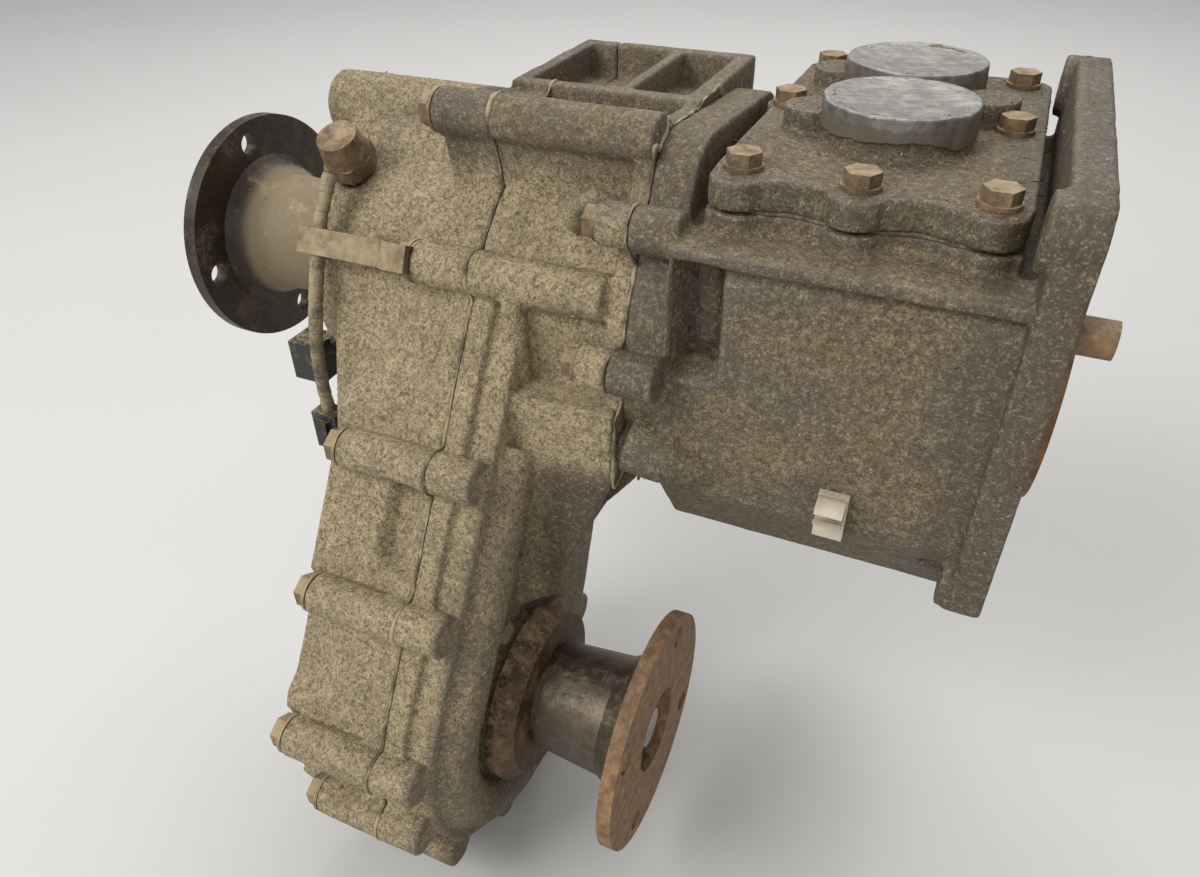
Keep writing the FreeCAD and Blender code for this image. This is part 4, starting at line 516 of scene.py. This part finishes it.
# The adaptor and its cover: columns stand under the cover's bolts, and a nose swells behind the joint flange.
NEAR_BOLTS, COLUMN_RADIUS = [(-0.122, -0.043), (-0.078, -0.045), (-0.032, -0.043)], 0.0112
SEAM_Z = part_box("control_cover")[0][2]
columns = [tube([(x, y, 0.056), (x, y, SEAM_Z - 0.001)], COLUMN_RADIUS) for x, y in NEAR_BOLTS]
nose = tube([(-0.152, -0.073, -0.028), (-0.135, -0.072, -0.031), (-0.112, -0.066, -0.038)], [0.013, 0.013, 0.006])
adaptor = casting("adaptor_casting", "adaptor_housing", added=columns + [nose], dents=[
    ((-0.127, -0.062, 0.034), (0.006, 0.024, 0.021), 0.005, (0, 0.017, 0)),
])
cover_columns = [tube([(x, y, SEAM_Z + 0.0003), (x, y, SEAM_Z + 0.0113)], COLUMN_RADIUS) for x, y in NEAR_BOLTS]
turret_ears = [tube([(x, y, SEAM_Z + 0.008), (x, y, SEAM_Z + 0.021)], 0.012)
               for x, y in ((-0.110, 0.020), (-0.112, 0.084), (-0.044, 0.058))]
cover = casting("cover_casting", "control_cover", added=cover_columns + turret_ears, grid=0.0009, rounds=2)
# darker stretches on the dark castings: stains, and painted shade in the deep gap beside the joint flange
DARK_STAINS_AND_SHADE = [
    (-0.030, 0.100, -0.200, 0.200, 0.45),  # the gearbox flange
    (-0.200, 0.100, 0.070, 0.120, 0.22),  # the cover
    (-0.160, -0.122, 0.000, 0.066, 0.25),  # painted shade in the deep gap beside the joint flange
]
dirty_casting("dark_casting", "dark_casting", linear(132, 117, 90), linear(88, 80, 69), 0.10, 0.46, DARK_STAINS_AND_SHADE).paint(
    adaptor, cover)

# ---------------------------------------------------------------------------
# Sealant: grey-brown silicone squeezed out of the case joint and the adaptor
# joint when the bolts were drawn up, thick in some places and hidden in others.
# ---------------------------------------------------------------------------
def wander(along, seed):
    """A smooth uneven wave from about -1 to 1: four sines whose lengths share no factor."""
    parts = [np.sin(along * rate * (1 + 0.13 * seed) + seed * 1.7 * rate) for rate in (61.0, 143.0, 317.0, 701.0)]
    return np.tensordot([0.34, 0.28, 0.22, 0.16], np.array(parts), 1)


BEAD_STEP, BEAD_SIDES, BEAD_REACH, BESIDE_JOINT = 0.0012, 8, 0.06, 0.0022


def squeezed_bead(name, joint, lobes, trees):
    """A bead round a joint. It walks round the outside of two circles, a little larger than the joint, by equal
    steps, and each of its points is dropped straight in onto the castings on both sides of the joint."""
    turn = np.linspace(0, 2 * np.pi, 900)
    way = np.stack([np.cos(turn), np.sin(turn)], 1)
    (y0, z0, r0), (y1, z1, r1) = lobes
    first = (way @ [y0, z0] + r0) >= (way @ [y1, z1] + r1)
    ring = np.where(first[:, None], np.array([y0, z0]) + way * r0, np.array([y1, z1]) + way * r1)
    length = walked_length(ring)
    steps = np.arange(0, length[-1], BEAD_STEP)
    outside = np.stack([np.interp(steps, length, ring[:, k]) for k in (0, 1)], 1)
    outward = np.stack([np.interp(steps, length, way[:, k]) for k in (0, 1)], 1)
    path = []
    for (y, z), (dy, dz) in zip(outside, outward):
        hits = [tree.ray_cast(Vector((joint + side, y, z)), Vector((0, -dy, -dz)), BEAD_REACH)[0]
                for tree, side in zip(trees, (-BESIDE_JOINT, BESIDE_JOINT))]
        hits = [hit for hit in hits if hit is not None]
        if hits:
            outermost = max(hits, key=lambda h: (h.y - y) * dy + (h.z - z) * dz)
            path.append((joint, outermost.y, outermost.z))
    path = np.array(path)
    for _ in range(2):
        path[1:-1] = path[1:-1] / 2 + (path[:-2] + path[2:]) / 4
    walked = walked_length(path)
    path[:, 0] += 0.0005 * wander(walked, 2)
    width = 0.0006 + 0.0007 * np.clip(wander(walked, 1) + 0.1, -0.5, 1)
    return new_piece(name, mesh_of(name, [tube(path, width, BEAD_SIDES)]))


def tree_of(piece):
    """What a ray cast at the piece needs."""
    return BVHTree.FromObject(piece, bpy.context.evaluated_depsgraph_get())


case_bead = squeezed_bead("case_joint_sealant", CASE_JOINT,
                     [(0, 0, 0.105), (FRONT_Y, FRONT_Z, 0.125)], [tree_of(rear_case), tree_of(front_case)])
adaptor_bead = squeezed_bead("adaptor_joint_sealant", ADAPTOR_JOINT,
                             [(0, 0, 0.10), (0.0682, -0.0394, 0.08)], [tree_of(front_case), tree_of(adaptor)])


def dried_sealant():
    """Old silicone: matt, pale where dusty and near black where it has torn."""
    f = Finish("dried_sealant", "gasket_paper", 0.8)
    blotch = f.noise(0.02, 4, 0.6)
    fine = f.noise(0.0015, 3, 0.7)
    colour = f.mix(blotch.between(0.40, 0.60), linear(84, 72, 52), linear(172, 157, 124))
    f.colour(f.mix((fine - 0.2).between(0.2, 0.6) * 0.4, colour, linear(110, 98, 74)))
    f.bump(fine, 0.0004)
    return f


dried_sealant().paint(case_bead, adaptor_bead)

# ---------------------------------------------------------------------------
# Caked crumbs: grit and chopped straw that have stuck to the castings, most of
# them on what faces up and in the corners.
# ---------------------------------------------------------------------------
STRAW_SHARE, CRUMB_SIZE, CRUMB_SPREAD = 0.12, 0.00026, 0.35


def crumbs(name, pieces, count, seed):
    """Irregular grains stuck on the castings. Each is a stretched octahedron with uneven corners, turned any way,
    set a third into the skin at a point picked by area, by how far up it faces and by how deep it lies."""
    random = np.random.default_rng(seed)
    spots, outward = [], []
    for piece in pieces:
        mesh = piece.data
        mesh.calc_loop_triangles()
        total = len(mesh.loop_triangles)
        corners, area, normal = np.empty(total * 3, int), np.empty(total), np.empty(total * 3)
        mesh.loop_triangles.foreach_get("vertices", corners)
        mesh.loop_triangles.foreach_get("area", area)
        mesh.loop_triangles.foreach_get("normal", normal)
        corners, normal = corners.reshape(-1, 3), normal.reshape(-1, 3)
        hollow = np.empty(len(mesh.vertices))
        mesh.attributes["hollow"].data.foreach_get("value", hollow)
        weight = area * (0.25 + np.clip(normal[:, 2] + 0.3, 0, 1) + 3 * hollow[corners[:, 0]])
        chosen = random.choice(total, count, p=weight / weight.sum())
        share = random.dirichlet((1, 1, 1), count)
        spots.append((points_of(mesh)[corners[chosen]] * share[:, :, None]).sum(1))
        outward.append(normal[chosen])
    spots, outward = np.concatenate(spots), np.concatenate(outward)
    many = len(spots)
    octahedron = np.array([(1, 0, 0), (-1, 0, 0), (0, 1, 0), (0, -1, 0), (0, 0, 1), (0, 0, -1)], float)
    shape = octahedron[None] * random.uniform(0.65, 1.15, (many, 6, 1))
    straw = random.random(many) < STRAW_SHARE
    size = np.exp(random.normal(np.log(CRUMB_SIZE), CRUMB_SPREAD, many))
    stretch = np.where(straw, random.uniform(2.5, 5.0, many), random.uniform(1.0, 1.7, many))
    shape *= np.stack([size * stretch, size * np.where(straw, 0.6, 1), size * 0.7], 1)[:, None]
    frames = np.linalg.qr(random.normal(size=(many, 3, 3)))[0]
    flat = np.where(straw)[0]
    lengthwise = np.cross(outward[flat], random.normal(size=(len(flat), 3)))
    lengthwise /= np.linalg.norm(lengthwise, axis=1)[:, None]
    frames[flat] = np.stack([lengthwise, np.cross(outward[flat], lengthwise), outward[flat]], 1)
    points = np.einsum("nij,njk->nik", shape, frames) + (spots + outward * size[:, None] * 0.3)[:, None]
    faces = np.array([(0, 2, 4), (2, 1, 4), (1, 3, 4), (3, 0, 4), (2, 0, 5), (1, 2, 5), (3, 1, 5), (0, 3, 5)])
    faces = (faces[None] + 6 * np.arange(many)[:, None, None]).reshape(-1, 3)
    mesh = bpy.data.meshes.new(name)
    mesh.from_pydata(points.reshape(-1, 3).tolist(), [], faces.tolist())
    tint = mesh.attributes.new("tint", "FLOAT", "POINT")
    tint.data.foreach_set("value", np.repeat(random.random(many), 6).astype(np.float32))
    return new_piece(name, mesh, smooth=False)


def crumb_finish(name, slot, dark, pale):
    """Each crumb has a tint of its own between dark grit and pale straw."""
    f = Finish(name, slot, 0.92)
    tint = f.mark("tint")
    shade = f.mix(tint.between(0.1, 0.75), dark, SAND)
    f.colour(f.mix(tint.between(0.8, 1.0), shade, pale))
    return f


sandy_crumbs = crumbs("sandy_crumbs", [rear_case, front_case], 7000, 4)
crumb_finish("sandy_crumbs", "sandy_casting", linear(110, 96, 70), PALE_GRAIN_AND_HIGHLIGHT).paint(sandy_crumbs)
dark_crumbs = crumbs("dark_crumbs", [adaptor, cover], 3200, 9)
crumb_finish("dark_crumbs", "dark_casting", linear(62, 52, 38), linear(168, 150, 112)).paint(dark_crumbs)

# ---------------------------------------------------------------------------
# Turned and forged steel: drive flanges, dust shields, nuts, retainer, dowels.
# Forged blanks turned on a lathe; the open ones carry a skin of old rust.
# ---------------------------------------------------------------------------
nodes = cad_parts
RUST = linear(162, 126, 90)
OLD_RUST = linear(110, 86, 62)
FRESH_RUST = linear(172, 118, 70)
DISC_THICKNESS, HUB_START = 0.009, 0.012
SMALL_STEEL = ("rear_flange_nut", "front_flange_nut", "gearbox_dowels", "control_cover_bolts", "adaptor_bolts",
               "top_case_bolt", "drain_plug", "filler_plug")
ZINC_PLATED = ("case_bolts", "lead_clip", "breather")
SEALS = ("rear_oil_seal", "front_oil_seal", "input_oil_seal")
OTHER_OUTSIDE = (
    "rear_case", "front_case", "adaptor_housing", "control_cover", "front_flange", "front_dust_shield",
    "input_bearing_retainer", "rear_flange", "rear_dust_shield", "four_wd_switch", "turret_tape", "switch_lead",
    "switch_connector", "speed_sensor", "harness_clip", "control_cover_gasket", "hi_lo_fork", "four_wd_fork",
)


def called(names):
    """The CAD pieces of these names."""
    return [nodes[name] for name in names]


def rusty(name, slot, steel, rust_share, dust_share=0.0, dusty_from=None, rusty_from=None):
    """Bare steel with rust in blotches: dark brown where it is old, orange in a few fresh spots. dusty_from is the
    X past which road dust has caked on it too, and rusty_from the X past which it has rusted all over."""
    f = Finish(name, slot, 0.6)
    wide = f.noise(0.022, 6, 0.65)
    streaks = f.noise(0.006, 5, 0.7)
    small = f.noise(0.0016, 4, 0.75)
    rust = wide + (small - 0.5) * 0.7 + rust_share - 1.0
    if rusty_from is not None:
        rust = rust + (f.part(f.place, 0).between(rusty_from - 0.001, rusty_from + 0.001) - 0.5) * 0.45
    rust = rust.between(-0.2, 0.22)
    shade = f.mix(streaks.between(0.3, 0.7), OLD_RUST, RUST)
    shade = f.mix((wide * 0.5 + streaks * 0.6 - 0.2).between(0.42, 0.6) * 0.55, shade, FRESH_RUST)
    metal = f.mix(streaks.between(0.25, 0.75), times(steel, 0.7), times(steel, 1.3))
    colour = f.mix(small.between(0.3, 0.75) * 0.35, f.mix(rust, metal, shade), times(OLD_RUST, 0.6))
    dust = (f.noise(0.012, 5, 0.65) + f.facing(2) * 0.22 + (small - 0.5) * 0.5 + dust_share - 0.9).between(-0.1, 0.3)
    if dusty_from is not None:
        caked = f.part(f.place, 0).between(dusty_from, dusty_from + 0.006)
        dust = (dust + caked * 0.6).lowest(1.0)
    f.colour(f.mix(dust * 0.85, colour, SAND))
    f.feed(f.shader.inputs["Metallic"], (1 - rust.highest(dust)) * 0.7)
    f.rough(0.45 + rust.highest(dust) * 0.42)
    f.bump(small * (0.3 + rust * 0.7) + streaks * 0.5, 0.0004)
    return f


rusty("rusty_flange", "rusty_flange", linear(98, 90, 78), 0.50, 0.12, rusty_from=flange_high[0] - DISC_THICKNESS).paint(
    nodes["front_flange"], nodes["input_bearing_retainer"])
rusty("rusty_shield", "rusty_flange", linear(74, 62, 48), 0.46, 0.22).paint(nodes["front_dust_shield"])
rear_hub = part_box("rear_flange")[0][0] + HUB_START
rusty("dark_flange", "dark_flange", linear(58, 55, 50), 0.34, 0.12, dusty_from=rear_hub).paint(
    nodes["rear_flange"], nodes["rear_dust_shield"])
rusty("rusty_steel", "rusty_steel", linear(118, 106, 84), 0.50, 0.28).paint(*called(SMALL_STEEL))

# ---------------------------------------------------------------------------
# Zinc-plated fasteners and fittings: case bolts, switch, clip, breather.
# Plated steel that has lost its shine, with rust on its corners and dust.
# ---------------------------------------------------------------------------
rusty("zinc_steel", "zinc_steel", linear(128, 112, 86), 0.44, 0.40).paint(*called(ZINC_PLATED))
rusty("switch_can", "zinc_steel", linear(96, 84, 66), 0.50, 0.30).paint(nodes["four_wd_switch"])

# ---------------------------------------------------------------------------
# Machined inner parts: shafts, gears, sleeves, bearings, rails, forks, chain.
# Ground and hobbed steel under a film of brown oil.
# ---------------------------------------------------------------------------
def oiled_steel(name, slot, steel):
    """Machined steel: fine turning marks, and oil that browns it in places."""
    f = Finish(name, slot, 0.32, 0.9)
    film = f.noise(0.02, 4, 0.6)
    marks = f.noise(0.0007, 2, 0.5)
    f.colour(f.mix(film.between(0.4, 0.75) * 0.6, steel, linear(112, 92, 66)))
    f.rough(0.25 + film * 0.2 + marks * 0.08)
    f.bump(marks, 0.00006)
    return f


OUTSIDE = OTHER_OUTSIDE + SMALL_STEEL + ZINC_PLATED + SEALS
inner = [node for node in nodes.values() if node.name not in OUTSIDE]
oiled_steel("machined_steel", "machined_steel", linear(172, 170, 166)).paint(*inner)
oiled_steel("fork_alloy", "fork_alloy", linear(132, 128, 122)).paint(nodes["hi_lo_fork"], nodes["four_wd_fork"])


# ---------------------------------------------------------------------------
# Rubber, plastic and gasket: seals, sensor, connector, clip.
# Moulded, dull, and grey with dust.
# ---------------------------------------------------------------------------
def dusty_plastic(name, slot, colour, dust_share, grain=0.0015):
    """A moulded or taped surface with a film of dust, thicker in its corners and on top."""
    f = Finish(name, slot, 0.6)
    blotch = f.noise(0.012, 5, 0.65)
    fine = f.noise(grain, 3, 0.7)
    dust = (blotch + f.facing(2) * 0.15 + (fine - 0.5) * 0.6 + dust_share - 0.95).between(-0.1, 0.3)
    f.colour(f.mix(dust * 0.9, f.mix(fine, colour, times(colour, 1.5)), SAND))
    f.rough(0.5 + dust * 0.4)
    f.bump(fine, 0.0002)
    return f


dusty_plastic("seal_rubber", "seal_rubber", linear(34, 33, 32), 0.3).paint(*called(SEALS))
dusty_plastic("black_plastic", "black_plastic", linear(30, 30, 29), 0.35).paint(
    nodes["switch_connector"], nodes["speed_sensor"])
dusty_plastic("white_plastic", "white_plastic", linear(176, 168, 150), 0.42).paint(nodes["harness_clip"])
dusty_plastic("gasket_paper", "gasket_paper", linear(74, 68, 58), 0.4).paint(nodes["control_cover_gasket"])

# ---------------------------------------------------------------------------
# The switch's lead: two wires bound together with cloth tape, stiff with age,
# that leaves the indicator switch and hangs down to its connector.
# ---------------------------------------------------------------------------
ROUTE = [
    (-0.311, -0.0455, 0.0575), (-0.312, -0.055, 0.044), (-0.313, -0.062, 0.024), (-0.316, -0.0665, 0.002),
    (-0.321, -0.067, -0.022), (-0.326, -0.064, -0.046), (-0.328, -0.061, -0.066),
]
LEAD_LENGTH, LEAD_WIDTH, LEAD_STEP = 0.1297, 0.007, 0.0004
TAPE_LAP, TAPE_THICKNESS, TAPE_CREASE = 0.0085, 0.0005, 0.0002
line = bpy.data.curves.new("lead_line", "CURVE")
line.dimensions = "3D"
spline = line.splines.new("NURBS")
spline.points.add(len(ROUTE) - 1)
for point, place in zip(spline.points, ROUTE):
    point.co = (*place, 1)
spline.order_u = 3
spline.use_endpoint_u = True
spline.resolution_u = 24
holder = bpy.data.objects.new("lead_line", line)
drawn = bpy.data.meshes.new_from_object(holder)
route = points_of(drawn)
bpy.data.objects.remove(holder)
walked = walked_length(route)
steps = np.arange(0, walked[-1], LEAD_STEP)
route = np.stack([np.interp(steps, walked, route[:, k]) for k in range(3)], 1)
lap = (steps / TAPE_LAP) % 1
thick = LEAD_WIDTH / 2 - TAPE_THICKNESS + TAPE_THICKNESS * lap ** 0.5 + TAPE_CREASE * wander(steps, 3)
lead = new_piece("taped_lead", mesh_of("taped_lead", [tube(route, thick)]))
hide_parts("switch_lead")
dusty_plastic("lead_tape", "lead_tape", linear(50, 46, 40), 0.55, 0.0011).paint(lead)

# ---------------------------------------------------------------------------
# Silver tape over the two open turrets: foil pressed flat on top, creased, and
# folded down over the rim with a torn edge.
# ---------------------------------------------------------------------------
def ripple(turn, seed):
    """A wave round a circle that meets itself: four sines of whole counts, from about -1 to 1."""
    waves = [np.sin(count * turn + seed * count * 0.9) for count in (2, 3, 5, 8)]
    return np.tensordot([0.3, 0.3, 0.25, 0.15], np.array(waves), 1)


FOIL_RINGS, FOIL_RAYS, TOP_SHARE = 60, 180, 0.72
TURRET_RADIUS, FOIL_LIP, SKIRT, FOIL_THICKNESS = 0.030, 0.0005, 0.0115, 0.00025


def foil_cap(name, middle, top, seed):
    """A disc whose outer rings turn down over the rim. The top sags towards the middle and is creased by waves that
    run across it, and the lower edge is torn to an uneven depth."""
    share = np.linspace(0, 1, FOIL_RINGS)[:, None]
    turn = np.linspace(0, 2 * np.pi, FOIL_RAYS + 1)[None, :-1]
    flat = np.minimum(share / TOP_SHARE, 1)
    down = np.maximum(share - TOP_SHARE, 0) / (1 - TOP_SHARE)
    ragged = 0.9 + 0.22 * ripple(turn, seed) + 0.05 * ripple(5 * turn, seed + 3)
    out = TURRET_RADIUS * flat + 0.0003 + 0.0007 * down + 0.0006 * flat ** 8 * ripple(3 * turn, seed + 1)
    x, y = out * np.cos(turn), out * np.sin(turn)
    crease = 0.00025 * wander(x * 0.8 + y * 0.5 + 0.3, seed) + 0.00015 * wander(y * 0.9 - x * 0.3, seed + 5)
    z = top + 0.0004 - 0.0012 * (1 - flat ** 2) + crease * (1 - down) - SKIRT * down * ragged
    points = np.stack([middle[0] + x, middle[1] + y, z + 0 * x], -1).reshape(-1, 3)
    mesh = bpy.data.meshes.new(name)
    mesh.from_pydata(points.tolist(), [], wrapped_grid(FOIL_RINGS, FOIL_RAYS))
    cap = new_piece(name, mesh)
    thickness = cap.modifiers.new("thickness", "SOLIDIFY")
    thickness.thickness = FOIL_THICKNESS
    return cap


def silver_foil(edge):
    """Aluminium foil tape: dull silver with fine scratches, and grimy low on its skirt, below the edge's height."""
    f = Finish("silver_tape", "silver_tape", 0.4)
    fold = f.noise(0.006, 5, 0.6)
    scratch = f.noise(0.0014, 3, 0.7)
    low_down = 1 - f.part(f.place, 2).between(edge - 0.006, edge - 0.0005)
    grime = (f.noise(0.009, 5, 0.7) + low_down * 0.35 - 0.55).between(0.0, 0.18)
    silver = f.mix(fold.between(0.35, 0.7), linear(112, 109, 102), linear(144, 141, 133))
    f.colour(f.mix(grime * 0.8, silver, linear(84, 74, 58)))
    f.feed(f.shader.inputs["Metallic"], (1 - grime) * 0.55)
    f.rough(0.34 + scratch * 0.16 + grime * 0.3)
    f.bump(fold + scratch * 0.15, 0.0006)
    return f


tape_low, tape_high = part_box("turret_tape")
INSET = TURRET_RADIUS + FOIL_LIP
near_tape = foil_cap("near_turret_tape", (tape_high[0] - INSET, tape_low[1] + INSET), tape_low[2], 1)
far_tape = foil_cap("far_turret_tape", (tape_low[0] + INSET, tape_high[1] - INSET), tape_low[2], 2)
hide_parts("turret_tape")
silver_foil(tape_low[2]).paint(near_tape, far_tape)

# ---------------------------------------------------------------------------
# Studio: a pale floor that the lowest bolt boss stands on, and soft lamps.
# ---------------------------------------------------------------------------
GROUND = cad_box[0][2] - 0.0005
FLOOR_RADIUS, FLOOR_CORNERS = 6.0, 96
round_it = np.linspace(0, 2 * np.pi, FLOOR_CORNERS + 1)[:-1]
rim = np.stack([FLOOR_RADIUS * np.cos(round_it), FLOOR_RADIUS * np.sin(round_it), np.full(FLOOR_CORNERS, GROUND)], 1)
floor_mesh = bpy.data.meshes.new("floor")
floor_mesh.from_pydata(rim.tolist(), [], [list(range(FLOOR_CORNERS))])
floor = bpy.data.objects.new("floor", floor_mesh)
scene.collection.objects.link(floor)
paper = Finish("floor_paper", None, 0.9)
paper.colour(paper.mix(paper.noise(0.5, 3), linear(194, 193, 190), linear(200, 199, 196)))
floor.data.materials.append(paper.material)

world = bpy.data.worlds.new("studio")
scene.world = world
world.use_nodes = True
sky = world.node_tree.nodes["Background"]
sky.inputs["Color"].default_value = (*linear(225, 225, 227), 1)
sky.inputs["Strength"].default_value = 0.62


def lamp(name, spot, aim, size, watts):
    """A soft square lamp at a spot, facing a point."""
    light = bpy.data.lights.new(name, "AREA")
    light.size, light.energy = size, watts
    holder = bpy.data.objects.new(name, light)
    holder.location = spot
    holder.rotation_euler = (Vector(aim) - Vector(spot)).to_track_quat("-Z", "Y").to_euler()
    scene.collection.objects.link(holder)


MIDDLE = (-0.17, -0.03, -0.05)
lamp("window", (-1.3, -1.5, 1.6), MIDDLE, 1.2, 40)
lamp("ceiling", (-0.5, 1.4, 2.0), MIDDLE, 1.6, 42)
lamp("fill", (0.5, -1.8, 0.9), MIDDLE, 1.4, 8)
